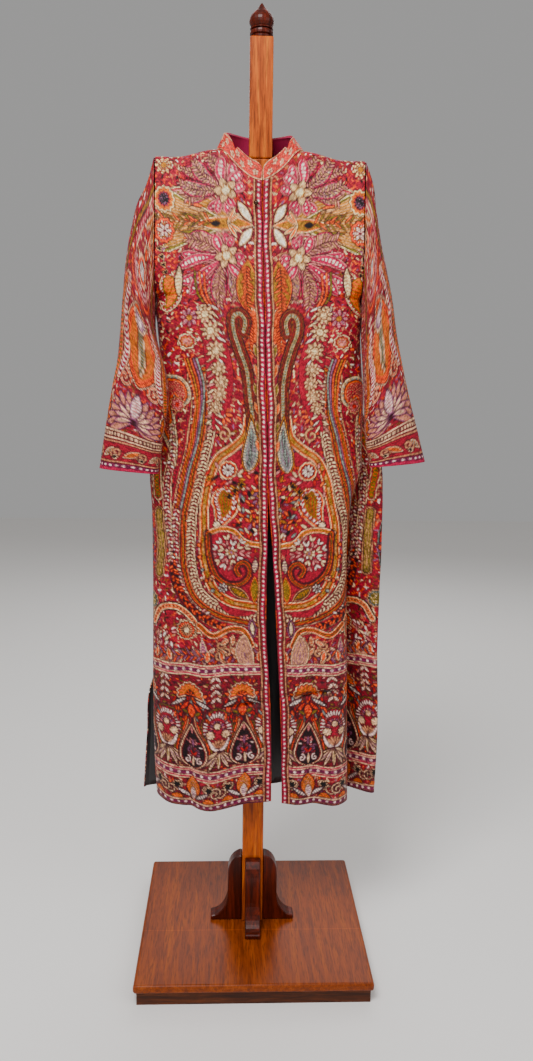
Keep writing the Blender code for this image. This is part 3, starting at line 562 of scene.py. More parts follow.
@dataclass
class Panel:
    """A front or the back: its place on the form, its folds and the creases laid on it."""

    name: str
    face: Face
    side: Side
    hem: Curve
    shares: Array
    rows: int
    folds: tuple[Fold, ...]
    creases: tuple[Crease, ...]
    fold_free: float = 0.06
    crease_free: float = 0.03
    lining_gap: float = 0.0021
    lining_start: float = 0.012
    lining_top: float = 1.170
    form: BodyForm = field(default_factory=BodyForm)

    def fold_height(self, share: Array, z: Array) -> Array:
        """Gives how far the hanging folds stand out, held flat at the side seams.

        Args:
            share: Each point's share of the panel's width.
            z: Its height.

        Returns:
            Its distance out.
        """
        total = np.zeros(z.shape)
        for fold in self.folds:
            bell = np.exp(-(((share - fold.across) / fold.half_width) ** 2))
            if fold.foot >= 1.0:
                rise = np.sin(math.pi * unit((z - fold.foot) / (fold.head - fold.foot)))
            else:
                rise = ease((fold.head - z) / (fold.head - fold.foot))
            total += fold.depth * bell * rise
        return total * unit(np.minimum(share, 1 - share) / self.fold_free) ** 2

    def shell(self) -> Shell:
        """Lays the panel on the form as a fine grid with its folds and creases.

        Returns:
            The panel's shell.
        """
        share = np.broadcast_to(self.shares[None, :], (self.rows, len(self.shares)))
        top_row = np.full((1, len(self.shares)), self.form.body_top)
        x_top = self.form.place(self.face, self.side, self.shares, top_row)[0][0, :, 0]
        foot = self.hem.at(self.shares)
        top = self.form.top_level(x_top, self.face)
        levels = foot + (top - foot) * np.linspace(0.0, 1.0, self.rows)[:, None]
        points, walked = self.form.place(self.face, self.side, self.shares, levels)
        if self.face is Face.BACK:
            walked = walked - walked[:, np.argmin(np.abs(points[0, :, 0]))][:, None]
        normals = grid_normals(points)
        normals = normals * (self.side.value if self.face is Face.FRONT else -1)
        height = self.fold_height(share, points[..., 2])
        flat = np.stack([walked, levels], axis=-1)
        edge = unit(np.minimum(share, 1 - share) / self.crease_free) ** 2
        for crease in self.creases:
            height += crease.over(flat) * edge
        points = points + normals * height[..., None]
        bent = grid_normals(points)
        bent = bent * np.sign((bent * normals).sum(axis=2, keepdims=True))
        normals = normals * (1 - edge[..., None]) + bent * edge[..., None]
        normals /= np.linalg.norm(normals, axis=2, keepdims=True)
        return Shell(self.name, points, normals, flat)

    def lining(self, shell: Shell) -> Shell:
        """Lays the lining inside the back, from the hem to above the waist and from the slit to the neck.

        Args:
            shell: The back's cloth.

        Returns:
            The lining, on every second row and column of the cloth.
        """
        line = self.form.back_line(self.form.body_top)
        steps = steps_along(line)
        last = np.interp(self.form.neck_half, line[:, 0], steps) / steps[-1]
        columns = np.flatnonzero((self.shares > self.lining_start) & (self.shares < last))[::2]
        rows = np.flatnonzero(shell.flat[:, 0, 1] < self.lining_top)[1::2]
        part = np.ix_(*(kept[:(len(kept) - 1) // 4 * 4 + 1] for kept in (rows, columns)))
        normals = shell.normals[part]
        inner = shell.points[part] - normals * self.lining_gap
        return Shell("back_silk", inner, normals, shell.flat[part], thickness=0.001)


@dataclass(frozen=True)
class Ring:
    """One section across a sleeve between its outer and inner points, for the side at +X."""

    outer_x: float
    outer_z: float
    inner_x: float
    inner_z: float
    outer_y: float
    inner_y: float
    half_depth: float
    roundness: float


@dataclass
class Sleeve:
    """A tapered sleeve through its rings, open at the armhole and the cuff."""

    name: str
    side: Side
    rings: tuple[Ring, ...]
    creases: tuple[Crease, ...]
    rows: int = 401
    columns: int = 120
    round_power: float = 2.3
    crease_free: float = 0.03
    form: BodyForm = field(default_factory=BodyForm)

    def armhole_loop(self) -> Array:
        """Walks the armhole from the shoulder round by the front, in shares of its half sizes.

        Returns:
            The height and the depth of each column's point.
        """
        form = self.form
        start = float(form.shoulder(np.array(form.armhole_x), Face.BACK)) - form.roll
        power = 2 / form.roll_power
        halves = []
        for face in (Face.FRONT, Face.BACK):
            deep = float(form.depth(start, form.armhole_x, face))
            roll = np.linspace(math.pi / 2, 0.0, 24)
            rise = start + form.roll * np.sin(roll) ** power
            half = [np.stack([rise, deep * np.maximum(np.cos(roll), 0.0) ** power], 1)]
            bend = 1 - np.sin(np.linspace(0.0, math.pi / 2, 40)[1:]) ** (2 / form.armhole_power)
            heights = np.concatenate([
                np.linspace(start, form.underarm + form.armhole_round, 32)[1:],
                form.underarm + form.armhole_round * bend,
            ])
            half.append(np.array([(z, form.armhole_depth(z, face)) for z in heights]))
            halves.append(np.concatenate(half))
        walk = np.concatenate([halves[0], halves[1][::-1][1:]])
        steps = steps_along(walk)
        at = np.arange(self.columns) / self.columns * steps[-1]
        middle = (form.shoulder_top + form.underarm) / 2
        half_height = (form.shoulder_top - form.underarm) / 2
        height = (np.interp(at, steps, walk[:, 0]) - middle) / half_height
        return np.stack([height, np.interp(at, steps, walk[:, 1]) / self.rings[0].half_depth], axis=1)

    def round_loop(self) -> Array:
        """Walks the rounded section further down the sleeve in the same way."""
        angle = np.arange(self.columns) / self.columns * 2 * math.pi
        ways = (np.cos(angle), -np.sin(angle))
        return np.stack([np.sign(way) * np.abs(way) ** (2 / self.round_power) for way in ways], axis=1)

    def shell(self) -> Shell:
        """Lays the sleeve as a fine tube with its creases; flat, it is counted from its front and cuff.

        Returns:
            The sleeve's shell.
        """
        start, end = self.armhole_loop(), self.round_loop()
        places = tuple(np.linspace(0.0, 1.0, len(self.rings)))
        curves = {
            name: Curve(tuple(zip(places, (getattr(ring, name) for ring in self.rings))))
            for name in Ring.__dataclass_fields__
        }
        at = np.linspace(0.0, 1.0, self.rows) ** 0.92
        ring = {name: curve.at(at)[:, None] for name, curve in curves.items()}
        loop = start[None] * (1 - ring["roundness"][..., None]) + end[None] * ring["roundness"][..., None]
        lean = (ring["outer_y"] - ring["inner_y"]) / 2
        x = (ring["outer_x"] + ring["inner_x"]) / 2 + loop[..., 0] * (ring["outer_x"] - ring["inner_x"]) / 2
        y = (ring["outer_y"] + ring["inner_y"]) / 2 + lean * loop[..., 0] + loop[..., 1] * ring["half_depth"]
        z = (ring["outer_z"] + ring["inner_z"]) / 2 + loop[..., 0] * (ring["outer_z"] - ring["inner_z"]) / 2
        points = np.stack([self.side.value * x, y, z], axis=-1)
        normals = grid_normals(points, closed=True)
        centres = points.mean(axis=1, keepdims=True)
        normals *= np.sign((normals * (points - centres)).sum())
        round_steps = np.linalg.norm(np.roll(points, -1, axis=1) - points, axis=2)
        girth = round_steps.sum(axis=1, keepdims=True)
        turn = (np.arange(self.columns) / self.columns + 0.25) % 1.0 - 0.5
        front = points[:, self.columns // 4]
        down = steps_along(front)
        flat = np.stack(np.broadcast_arrays(turn[None, :] * girth, down[-1] - down[:, None]), axis=-1)
        height = np.zeros(z.shape)
        reach = np.minimum(down, down[-1] - down)[:, None]
        fade = unit(reach / self.crease_free)
        for crease in self.creases:
            height += crease.over(flat) * fade
        points = points + normals * height[..., None]
        bent = grid_normals(points, closed=True)
        bent *= np.sign((bent * normals).sum(axis=2, keepdims=True))
        return Shell(self.name, points, bent, flat, closed=True)


class Thread(Enum):
    """The sewing threads and their sRGB colours."""

    CRIMSON = "A2003C"
    RASPBERRY = "B60056"
    WINE = "4A0420"
    MADDER = "860030"
    PLUM = "7C2850"
    SCARLET = "C41E1C"
    CORAL = "E06238"
    ORANGE = "EC7006"
    GOLD = "B8802E"
    BEIGE = "CCA078"
    CREAM = "F0D8AC"
    WHITE = "F8E8D4"
    BLUSH = "D09088"
    LILAC = "90647C"
    OLIVE = "7E7030"
    TEAL = "8A988C"
    SOOT = "18080C"
    SALMON = "DC5A4C"


class Stitch(Enum):
    """How a band is filled between its edges."""

    PLAIN = "plain"
    LEAVES = "pairs of small leaves"
    BEADS = "round beads"
    BARS = "bars across"
    NET = "a crossed net"
    STREAKS = "rows that follow the edge"


class Outline(Enum):
    """How a sewn stroke's width runs from its start to its end."""

    EVEN = "even"
    LEAF = "pointed at both ends"
    DROP = "round at the start and pointed at the end"
    SWELL = "pointed at the start and round at the end"


CRIMSON, RASPBERRY, WINE, MADDER, PLUM, SCARLET, CORAL, ORANGE, GOLD, *OTHER_THREADS = Thread
BEIGE, CREAM, WHITE, BLUSH, LILAC, OLIVE, TEAL, SOOT, SALMON = OTHER_THREADS
PLAIN, LEAVES, BEADS, BARS, NET, STREAKS = Stitch
EVEN, LEAF, DROP, SWELL = Outline


@dataclass(frozen=True)
class Band:
    """One band of stitches, counted in from a motif's edge, in mm; the designs write it as a row."""

    width: float
    thread: Thread
    stitch: Stitch = PLAIN
    second: Thread = CREAM
    pitch: float = 5.0


Row = tuple[float, Thread] | tuple[float, Thread, Stitch, Thread, float]


def smooth_path(points: Path, spacing: float = 4.0) -> Array:
    """Runs a smooth line through points on the flat cloth.

    Args:
        points: The points.
        spacing: How far apart the line's own points are.

    Returns:
        The line's points.
    """
    line = np.array(points, float)
    if len(line) < 3:
        return line
    padded = np.concatenate([[2 * line[0] - line[1]], line, [2 * line[-1] - line[-2]]])
    smooth = []
    for a, b, c, d in zip(padded, padded[1:], padded[2:], padded[3:]):
        count = max(2, int(math.dist(b, c) / spacing))
        t = np.linspace(0, 1, count, endpoint=False)[:, None]
        bend = 2 * b + (c - a) * t + (2 * a - 5 * b + 4 * c - d) * t**2 + (3 * b - a - 3 * c + d) * t**3
        smooth.append(0.5 * bend)
    return np.concatenate([*smooth, line[-1:]])


def ahead(at: Point, way: float, reach: float, rise: float | None = None) -> Point:
    """Finds the point that lies a way from another, in radians from +u; with a rise, on an oval."""
    return at[0] + reach * math.cos(way), at[1] + (reach if rise is None else rise) * math.sin(way)


def hash_noise(a: Array | float, b: Array | float, seed: float) -> Array:
    """Gives each whole-number cell its own even random number from 0 to 1, the same on each run."""
    value = np.sin(a * 127.1 + b * 311.7 + seed * 74.7) * 43758.5453
    return value - np.floor(value)


def zigzag(t: Array) -> Array:
    """Runs from 1 at each whole number down to 0 half way to the next."""
    return np.abs(t - np.floor(t) - 0.5) * 2


@dataclass
class Needle:
    """Sews motifs on a cloth: each changes the thread colour and the height of the points that it covers.

    The places u and w are in mm. A motif is darkened round its edge by a dark outline that is partly painted
    shade, and stands out by the lift.
    """

    u: Array
    w: Array
    seed: float
    ground: Thread = CRIMSON
    outline_shade: float = 0.75
    outline_shade_width: float = 2.2
    lift: float = 0.25
    crown: float = 3.0
    colour: Array = field(init=False)
    height: Array = field(init=False)

    def __post_init__(self) -> None:
        """Starts with bare cloth and lets the hand wander a little."""
        self.colour = np.broadcast_to(linear(self.ground.value), (*self.u.shape, 3)).copy()
        self.height = np.zeros(self.u.shape)
        k = self.seed
        self.u, self.w = (
            self.u + 1.1 * np.sin(self.w / 31 + k) + 0.7 * np.sin(self.w / 13 + 2 * k + self.u / 29),
            self.w + 1.1 * np.sin(self.u / 27 + 3 * k) + 0.7 * np.sin(self.u / 11 + k + self.w / 37),
        )

    def region(self, low: Array, high: Array) -> tuple[slice, slice]:
        """Finds the rows and columns that a box on the cloth meets.

        Args:
            low: The box's least u and w.
            high: Its greatest u and w.

        Returns:
            The rows and columns, empty where the box misses the cloth.
        """
        rows = np.flatnonzero((self.w.max(axis=1) >= low[1]) & (self.w.min(axis=1) <= high[1]))
        columns = np.flatnonzero((self.u.max(axis=0) >= low[0]) & (self.u.min(axis=0) <= high[0]))
        if len(rows) == 0 or len(columns) == 0:
            return slice(0), slice(0)
        return slice(rows[0], rows[-1] + 1), slice(columns[0], columns[-1] + 1)

    def stroke(self, points: Path, width: float, *rows: Row, outline: Outline = EVEN) -> None:
        """Sews a stroke along a smooth line.

        Args:
            points: Points that the line runs through.
            width: The stroke's greatest width.
            rows: Its bands.
            outline: How its width runs.
        """
        line = smooth_path(points)
        part = self.region(line.min(axis=0) - width, line.max(axis=0) + width)
        along, aside = path_distance(self.u[part], self.w[part], line)
        t = unit(along / np.linalg.norm(np.diff(line, axis=0), axis=1).sum())
        if outline is LEAF:
            share = np.maximum(np.sin(math.pi * t), 0) ** 0.8
        elif outline is EVEN:
            share = 1.0
        else:
            t = t if outline is DROP else 1 - t
            head = np.sqrt(unit(1 - ((t - 0.3) / 0.3) ** 2))
            share = np.where(t < 0.3, head, 1 - unit((t - 0.3) / 0.7) ** 1.5)
        self.fill(part, width / 2 * share - np.abs(aside), along, rows)

    def side_band(self, points: Path, start: float, end: float, *rows: Row) -> None:
        """Sews a band that lies beside a line.

        Args:
            points: Points that the line runs through.
            start: How far to the line's left the band starts; a distance to its right is negative.
            end: How far to its left the band ends.
            rows: Its bands of stitches.
        """
        line = smooth_path(points)
        reach = max(abs(start), abs(end))
        part = self.region(line.min(axis=0) - reach, line.max(axis=0) + reach)
        along, aside = path_distance(self.u[part], self.w[part], line)
        self.fill(part, abs(end - start) / 2 - np.abs(aside - (start + end) / 2), along, rows)

    def rosette(
        self, at: Point, radius: float, petals: int, *rows: Row,
        lobes: float = 0.22, tall: float = 1.0, spin: float = 0.0
    ) -> None:
        """Sews a round flower or oval.

        Args:
            at: Its centre.
            radius: Its radius across.
            petals: How many petals its edge has.
            rows: Its bands.
            lobes: How deep the edge is cut between them, as a share.
            tall: Its height against its width.
            spin: How far it is turned, in degrees.
        """
        reach = radius * max(1.0, tall)
        part = self.region(np.array(at) - reach, np.array(at) + reach)
        du, dw = self.u[part] - at[0], (self.w[part] - at[1]) / tall
        angle = np.arctan2(dw, du) + math.radians(spin)
        edge = radius * (1 - lobes * (0.5 - 0.5 * np.cos(petals * angle)))
        self.fill(part, edge - np.hypot(du, dw), (angle + 2 * math.pi) * radius, rows)

    def fan(self, at: Point, facing: float, spread: float, radius: float, rays: int, *rows: Row) -> None:
        """Sews a fan with a scalloped edge.

        Args:
            at: Its foot.
            facing: The way it faces, in degrees from +u.
            spread: How wide it opens, in degrees.
            radius: Its length.
            rays: How many scallops it has.
            rows: Its bands.
        """
        part = self.region(np.array(at) - radius, np.array(at) + radius)
        du, dw = self.u[part] - at[0], self.w[part] - at[1]
        angle = np.degrees(np.arctan2(dw, du)) - facing
        angle = (angle + 180) % 360 - 180
        far = np.hypot(du, dw)
        edge = radius * (0.88 + 0.12 * np.abs(np.cos(math.pi * rays * angle / spread)))
        inside = np.minimum(edge - far, np.radians(spread / 2 - np.abs(angle)) * far)
        self.fill(part, inside, (angle / spread + 0.5) * rays * 5, rows)

    def fill(self, region: tuple[slice, slice], depth: Array, along: Array, rows: tuple[Row, ...]) -> None:
        """Fills a motif with its bands from the edge in; the last one fills what is left.

        Args:
            region: The rows and columns of the cloth that it meets.
            depth: Each point's depth in from its edge.
            along: Each point's place along it.
            rows: The bands.
        """
        start = 0.0
        part = self.colour[region]
        # Dark outline and painted shade: a wine rim on the cloth just outside the motif's edge.
        part += (linear(WINE.value) - part) * self.outline_shade * unit(depth + self.outline_shade_width)[..., None]
        for k, row in enumerate(rows, 1):
            band = Band(*row)
            cover = unit(depth - start + 0.5)
            if not (cover > 0).any():
                break
            width = max(band.width, 1.0) if k == len(rows) else band.width
            share = self.pattern(band, along, depth - start, width)[..., None]
            colour = linear(band.thread.value) * (1 - share) + linear(band.second.value) * share
            part += (colour - part) * cover[..., None]
            start += band.width
        rise = self.height[region]
        rise += (self.lift * MM * unit(depth / self.crown) - rise * 0.6) * unit(depth + 0.5)

    def pattern(self, band: Band, along: Array, depth: Array, width: float) -> Array:
        """Gives how much of a band's second thread shows.

        Args:
            band: The band.
            along: Each point's place along the motif.
            depth: Its depth in the band.
            width: The band's width.

        Returns:
            A share from 0 to 1 for each point.
        """
        t = zigzag(along / band.pitch)
        v = unit(np.abs(2 * depth / width - 1))
        if band.stitch is PLAIN:
            return np.zeros(depth.shape)
        if band.stitch is LEAVES:
            slant = zigzag((along + 0.45 * band.pitch * v) / band.pitch)
            return unit((0.62 - slant - 0.25 * v) * 4)
        if band.stitch is BEADS:
            size = 0.5 * min(band.pitch, width)
            return unit((0.72 - np.hypot(t * band.pitch / 2, v * width / 2) / size) * 4)
        if band.stitch is BARS:
            return unit((0.5 - t) * 3 + 0.5)
        if band.stitch is STREAKS:
            row = zigzag(depth / band.pitch + 0.22 * np.sin(along / 5.5))
            dash = hash_noise(np.floor(along / 7), np.floor(depth / band.pitch), self.seed)
            return unit((row - 0.35) * 2.5) * (0.45 + 0.55 * dash)
        cross = sum(np.abs((place / band.pitch) % 1 - 0.5) for place in (along + depth, along - depth))
        return unit((cross - 0.55) * 4)

    def leaf(self, at: Point, facing: float, length: float, width: float, *rows: Row) -> None:
        """Sews a pointed leaf from its foot, facing a way in degrees from +u."""
        self.stroke((at, ahead(at, math.radians(facing), length)), width, *rows, outline=LEAF)

    def petals(
        self, at: Point, count: int, length: float, width: float, *rows: Row,
        first: float = 0.0, turn: float = 360.0, start: float = 2.0
    ) -> None:
        """Sews petals round a centre.

        Args:
            at: The centre.
            count: How many petals.
            length: Each petal's length.
            width: Each petal's width.
            rows: Their bands.
            first: The way the first one faces, in degrees.
            turn: How far round they go, in degrees.
            start: How far from the centre they start.
        """
        step = turn / count if turn >= 360 else turn / max(1, count - 1)
        for k in range(count):
            facing = first + step * k
            self.leaf(ahead(at, math.radians(facing), start), facing, length, width, *rows)

    def scroll(
        self, at: Point, radius: float, turns: float, facing: float, width: float, *rows: Row
    ) -> None:
        """Sews a curl that winds in to its centre.

        Args:
            at: The centre.
            radius: How far from it the curl starts.
            turns: How often it winds round; a negative one winds the other way.
            facing: The way from the centre to its start, in degrees.
            width: The curl's width.
            rows: Its bands.
        """
        steps = np.linspace(0, 1, max(6, int(abs(turns) * 12)))
        ways = math.radians(facing) + 2 * math.pi * turns * steps
        points = [ahead(at, way, reach) for way, reach in zip(ways, radius * (1 - 0.85 * steps))]
        self.stroke(points, width, *rows)

    def scatter(
        self, box: tuple[float, float, float, float], step: float, length: float, width: float,
        threads: Sequence[Thread], facing: float | None = None
    ) -> None:
        """Sews many small leaves over a box on the cloth.

        Args:
            box: Its least u, greatest u, least w and greatest w.
            step: How far apart the leaves stand.
            length: Each leaf's length.
            width: Each leaf's width.
            threads: The threads, used in turn.
            facing: The way they face, in degrees, or nothing for every way.
        """
        k = 0
        for row in range(int((box[3] - box[2]) / step) + 1):
            for column in range(int((box[1] - box[0]) / step) + 1):
                k += 1
                turn = float(hash_noise(k, row, self.seed))
                u = box[0] + (column + 0.5 * (row % 2) + 0.4 * turn) * step
                w = box[2] + (row + 0.4 * (1 - turn)) * step
                way = 360 * turn if facing is None else facing + 60 * (turn - 0.5)
                self.leaf((u, w), way, length * (0.8 + 0.4 * turn), width, (4, threads[k % len(threads)]))

    def sprigs(
        self, points: Path, spacing: float, length: float, width: float, threads: Sequence[Thread]
    ) -> None:
        """Sews uneven pairs of small leaves along a line.

        Args:
            points: Points that the line runs through.
            spacing: How far apart the pairs stand.
            length: Each leaf's length.
            width: Each leaf's width.
            threads: The threads, used in turn.
        """
        line = smooth_path(points)
        steps = steps_along(line)
        for k, reach in enumerate(np.arange(spacing, steps[-1], spacing)):
            at = tuple(float(np.interp(reach, steps, line[:, i])) for i in (0, 1))
            behind = tuple(float(np.interp(reach - 2, steps, line[:, i])) for i in (0, 1))
            way = math.degrees(math.atan2(at[1] - behind[1], at[0] - behind[0]))
            for side in (-1, 1):
                turn = float(hash_noise(k, side, self.seed))
                thread = threads[(2 * k + side) % len(threads)]
                facing = way + side * (36 + 30 * turn)
                self.leaf(at, facing, length * (0.7 + 0.5 * turn), width, (4, thread))

    def vines(self) -> None:
        """Covers the bare cloth with thin winding stems and small leaves, as close as the real ones."""
        u, w = self.u, self.w
        wave = np.sin(u / 5.2 + 1.9 * np.sin(w / 19 + self.seed))
        wave = wave * np.cos(w / 5.9 + 1.7 * np.sin(u / 15 + self.seed))
        patch = 0.5 + 0.5 * np.sin(u / 21 + 1.3 * np.sin(w / 33)) * np.sin(w / 27 + self.seed)
        self.colour += (linear(WINE.value) - self.colour) * (0.45 * patch)[..., None]
        stem = unit((0.12 - np.abs(wave)) * 12)
        pick = hash_noise(np.floor(u / 24), np.floor(w / 27), self.seed)[..., None]
        beige, coral, olive = (linear(thread.value) for thread in (BEIGE, CORAL, OLIVE))
        stems = np.where(pick < 0.35, beige, np.where(pick < 0.7, coral, olive))
        self.colour += (stems - self.colour) * 0.7 * stem[..., None]
        threads = (CREAM, WHITE, ORANGE, BEIGE, SOOT, CORAL, CREAM, WINE, LILAC)
        table = np.array([linear(thread.value) for thread in threads])
        leaf_chance = 0.62
        for size, seed in ((9.0, 3.0), (14.0, 8.0)):
            cell_u, cell_w = np.floor(u / size), np.floor(w / size)
            angle = 2 * math.pi * hash_noise(cell_u, cell_w, seed)
            shift = size * 0.2
            du = u - (cell_u + 0.5) * size - shift * (hash_noise(cell_u, cell_w, seed + 1) - 0.5)
            dw = w - (cell_w + 0.5) * size - shift * (hash_noise(cell_u, cell_w, seed + 2) - 0.5)
            x = du * np.cos(angle) + dw * np.sin(angle)
            y = -du * np.sin(angle) + dw * np.cos(angle) + 0.06 * x**2
            leaf = 1 - (x / (0.38 * size)) ** 2 - (y / (0.13 * size)) ** 2
            there = hash_noise(cell_u, cell_w, seed + 4) < leaf_chance
            cover = np.where(there, unit(leaf * 3), 0.0)[..., None]
            kind = (hash_noise(cell_u, cell_w, seed + 5) * len(table)).astype(int)
            self.colour += (table[kind] - self.colour) * cover
            self.height += (0.2 * MM - self.height) * cover[..., 0]

    def dressing(self) -> Dressing:
        """Gives the sewn cloth, with each stitch a little lighter or darker, and painted shade that makes it
        darker and redder towards the hem.

        Returns:
            The colours and heights.
        """
        grain = hash_noise(np.floor((self.u + 0.5 * self.w) / 3.1), np.floor(self.w / 2.3), self.seed)
        slow = np.sin(self.u / 9 + self.seed) * np.sin(self.w / 14 + 1.7 * self.seed)
        light = 0.40 + 1.0 * grain + 0.08 * slow
        deep = 1.12 * self.colour**1.22
        grey = deep @ np.array([0.2126, 0.7152, 0.0722])
        rich = np.maximum(grey[..., None] + (deep - grey[..., None]) * 1.15, 0.0)
        # Painted shade: the colour is darker and redder the lower w lies, which on the body is towards the hem.
        down = unit((1500 - self.w) / 1200)[..., None]
        rich = rich * (1.08 - down * np.array([0.26, 0.44, 0.30]))
        return Dressing(unit(rich * light[..., None]), self.height + 0.15 * MM * grain)


@dataclass
class JacketDesign:
    """The shawl design of the fronts and back: u in mm from the centre edge, w in mm from the floor."""

    needle: Needle
    open_edge: bool = True
    hem: float = 304
    repeat: float = 98

    def sew(self) -> Dressing:
        """Sews the whole design from the bare cloth up."""
        self.needle.vines()
        self.bodice_fans()
        self.bodice_flowers()
        self.side_medallions()
        self.great_paisley()
        self.outer_paisleys()
        self.canes()
        self.roses()
        self.skirt_flowers()
        self.hem_border()
        if self.open_edge:
            self.placket()
        return self.needle.dressing()

    def bodice_fans(self) -> None:
        """Sews the golden fans that spread from the centre between the flowers, with their cloudy edges."""
        n = self.needle
        n.stroke(((20, 1383), (62, 1386), (120, 1400), (186, 1388)), 98, (1.8, CREAM), (3.5, CRIMSON),
            (7, BLUSH, BEADS, OLIVE, 9), (60, GOLD, STREAKS, BEIGE, 6), outline=SWELL)
        n.fan((54, 1384), 2, 52, 132, 15, (2, CREAM), (4, OLIVE), (90, GOLD, BARS, BEIGE, 4))
        for k in range(9):
            n.leaf((98 + 7 * (k % 3), 1352 + 8.5 * k), 4 * (k - 4) + 8, 34, 5,
                (4, (BEIGE, ORANGE, OLIVE)[k % 3]))
        n.stroke(((18, 1382), (60, 1384), (118, 1384)), 25, (1.5, CREAM), (2, ORANGE),
            (20, GOLD, STREAKS, OLIVE, 5), outline=LEAF)
        n.sprigs(((84, 1386), (124, 1388), (186, 1388)), 9, 20, 2.2, (OLIVE, ORANGE, OLIVE))
        n.leaf((74, 1384), 0, 17, 9, (7, SOOT))
        for facing in (146, 214, 120, 240):
            n.leaf((62, 1384), facing, 30, 6, (1.2, CREAM), (6, ORANGE))

    def bodice_flowers(self) -> None:
        """Sews the large mirrored flowers above and below the fans, with broad lobes and puffed hearts."""
        n = self.needle
        upper = ((-10, 72, 30), (10, 80, 22), (26, 84, 18), (43, 78, 20), (62, 66, 18), (84, 56, 16),
            (106, 48, 14), (136, 40, 15), (166, 34, 13), (-46, 46, 13), (-68, 42, 11), (-92, 38, 11),
            (-118, 32, 10))
        lower = ((24, 74, 32), (4, 80, 15), (-13, 88, 15), (-29, 94, 17), (-45, 92, 15), (-61, 88, 19),
            (-80, 84, 24), (-102, 74, 28), (-128, 46, 13), (-152, 38, 12), (178, 32, 11), (60, 44, 13),
            (84, 40, 11), (108, 34, 10))
        for at, lobes in (((64, 1440), upper), ((64, 1327), lower)):
            for k, (facing, length, width) in enumerate(lobes):
                way = math.radians(facing)
                tip = ahead(at, way, length)
                bow = way + 0.16 * (-1) ** k
                bend = ahead(at, bow, 0.55 * length)
                lobe = (at, bend, tip)
                if width > 17:
                    n.stroke(lobe, width + 4, (2, RASPBERRY), (2.4, BEIGE, BARS, LILAC, 6),
                        (24, (BLUSH, LILAC)[k % 2], STREAKS, (BEIGE, CREAM)[k % 2], 5.5), outline=SWELL)
                    n.sprigs(lobe, 5, 0.5 * width, 2.2, (LILAC, BLUSH, PLUM, BEIGE))
                else:
                    n.stroke(lobe, width + 4, (1.6, BLUSH), (12, RASPBERRY, BEADS, WHITE, 6.5),
                        outline=SWELL)
            for facing in (70, 140, 215, 290, 355):
                n.leaf(at, facing, 22, 15, (1.2, WINE), (9, BEIGE, STREAKS, CREAM, 4))
            n.rosette(at, 9, 9, (1.4, GOLD), (8, CREAM, NET, WHITE, 5), lobes=0.2)
        for flip in (1, -1):
            n.leaf((19, 1382 + 3 * flip), 56 * flip, 44, 18, (1.6, WINE), (1.6, BEIGE),
                (10, WHITE, STREAKS, CREAM, 5))

    def side_medallions(self) -> None:
        """Sews the ovals, hearts and small paisleys down the outer side of the bodice."""
        n = self.needle
        n.petals((172, 1482), 9, 15, 8, (1.2, CRIMSON), (8, CREAM, BARS, GOLD, 4))
        n.rosette((172, 1482), 5, 8, (5, GOLD))
        n.rosette((172, 1424), 19, 12, (2, CREAM), (5, ORANGE, BARS, GOLD, 5), (2, CRIMSON),
            (20, SOOT, NET, LILAC, 5), lobes=0.12, tall=1.25)
        n.rosette((174, 1370), 18, 10, (3, CORAL), (4, CRIMSON, BEADS, CREAM, 6), (2, GOLD), (20, RASPBERRY),
            lobes=0.1, tall=1.2)
        n.petals((174, 1370), 6, 11, 5, (6, WHITE, BARS, BLUSH, 3))
        for k in range(4):
            n.rosette((182 - 3 * k, 1338 - 13 * k), 5.5, 3, (1.3, BEIGE), (5, SOOT), lobes=0.35)
        n.stroke(((170, 1296), (163, 1262), (176, 1240), (190, 1252)), 40, (1.6, CREAM),
            (4, CRIMSON, BEADS, WHITE, 6), (3, OLIVE), (14, ORANGE, LEAVES, GOLD, 6), outline=DROP)
        n.leaf((150, 1256), 92, 56, 15, (1.4, WINE), (10, CREAM, LEAVES, BEIGE, 6))
        n.petals((206, 1212), 9, 17, 9, (1.4, WINE), (9, LILAC, BARS, BLUSH, 4))
        n.petals((134, 1222), 8, 16, 9, (1.4, CRIMSON), (9, BLUSH, BARS, LILAC, 4))
        n.rosette((134, 1222), 5, 8, (6, GOLD))
        n.rosette((140, 1181), 17, 9, (2, CREAM), (3.5, CRIMSON), (2, GOLD), (14, BLUSH, NET, CORAL, 5),
            lobes=0.12, tall=0.8)
        for k, thread in enumerate((OLIVE, ORANGE, CORAL)):
            n.stroke(((120 - 8 * k, 1300), (116 - 7 * k, 1262), (98 - 4 * k, 1236)), 3, (5, thread))

    def great_paisley(self) -> None:
        """Sews the great paisley that fills the skirt: the bands round it, then its lines and its body."""
        n = self.needle
        sweep = ((104, 1120), (100, 1060), (112, 1000), (128, 930), (142, 860), (146, 800), (138, 748),
            (116, 712), (84, 690), (40, 677), (-6, 672))
        for start, end, band in ((-12, 40, (40, CRIMSON)), (-9.5, 4, (14, CRIMSON)), (4, 6, (3, CREAM)),
                (6, 9, (3, ORANGE)), (9, 10.6, (3, WINE)), (10.6, 13.6, (3, GOLD)), (13.6, 16.4, (3, CORAL)),
                (16.4, 18, (3, WINE)), (18, 20, (3, CREAM)), (20, 34, (14, CRIMSON)), (34, 36, (3, BEIGE)),
                (-11.5, -9.5, (3, CREAM))):
            n.side_band(sweep, start, end, band)
        n.sprigs([(u - 3, w) for u, w in sweep], 6.5, 8.5, 3, (WHITE, CREAM))
        n.sprigs([(u + 27, w - (10 if w < 720 else 0)) for u, w in sweep[:-2]], 7.5, 9, 3,
            (CREAM, WHITE, BLUSH))
        flame = ((176, 800), (172, 746), (150, 706), (118, 676), (80, 658))
        n.stroke(flame, 15, (1.6, WINE), (12, SCARLET), outline=LEAF)
        n.sprigs(flame, 6, 9, 3.2, (ORANGE, SOOT, CORAL))
        n.stroke(((62, 940), (72, 880), (74, 820), (68, 770), (46, 722)), 92, (40, CRIMSON))
        line = ((33, 1046), (42, 1012), (64, 990), (92, 968), (108, 930), (114, 890), (118, 840), (118, 800),
            (112, 762), (98, 730), (76, 710), (46, 698), (-6, 694))
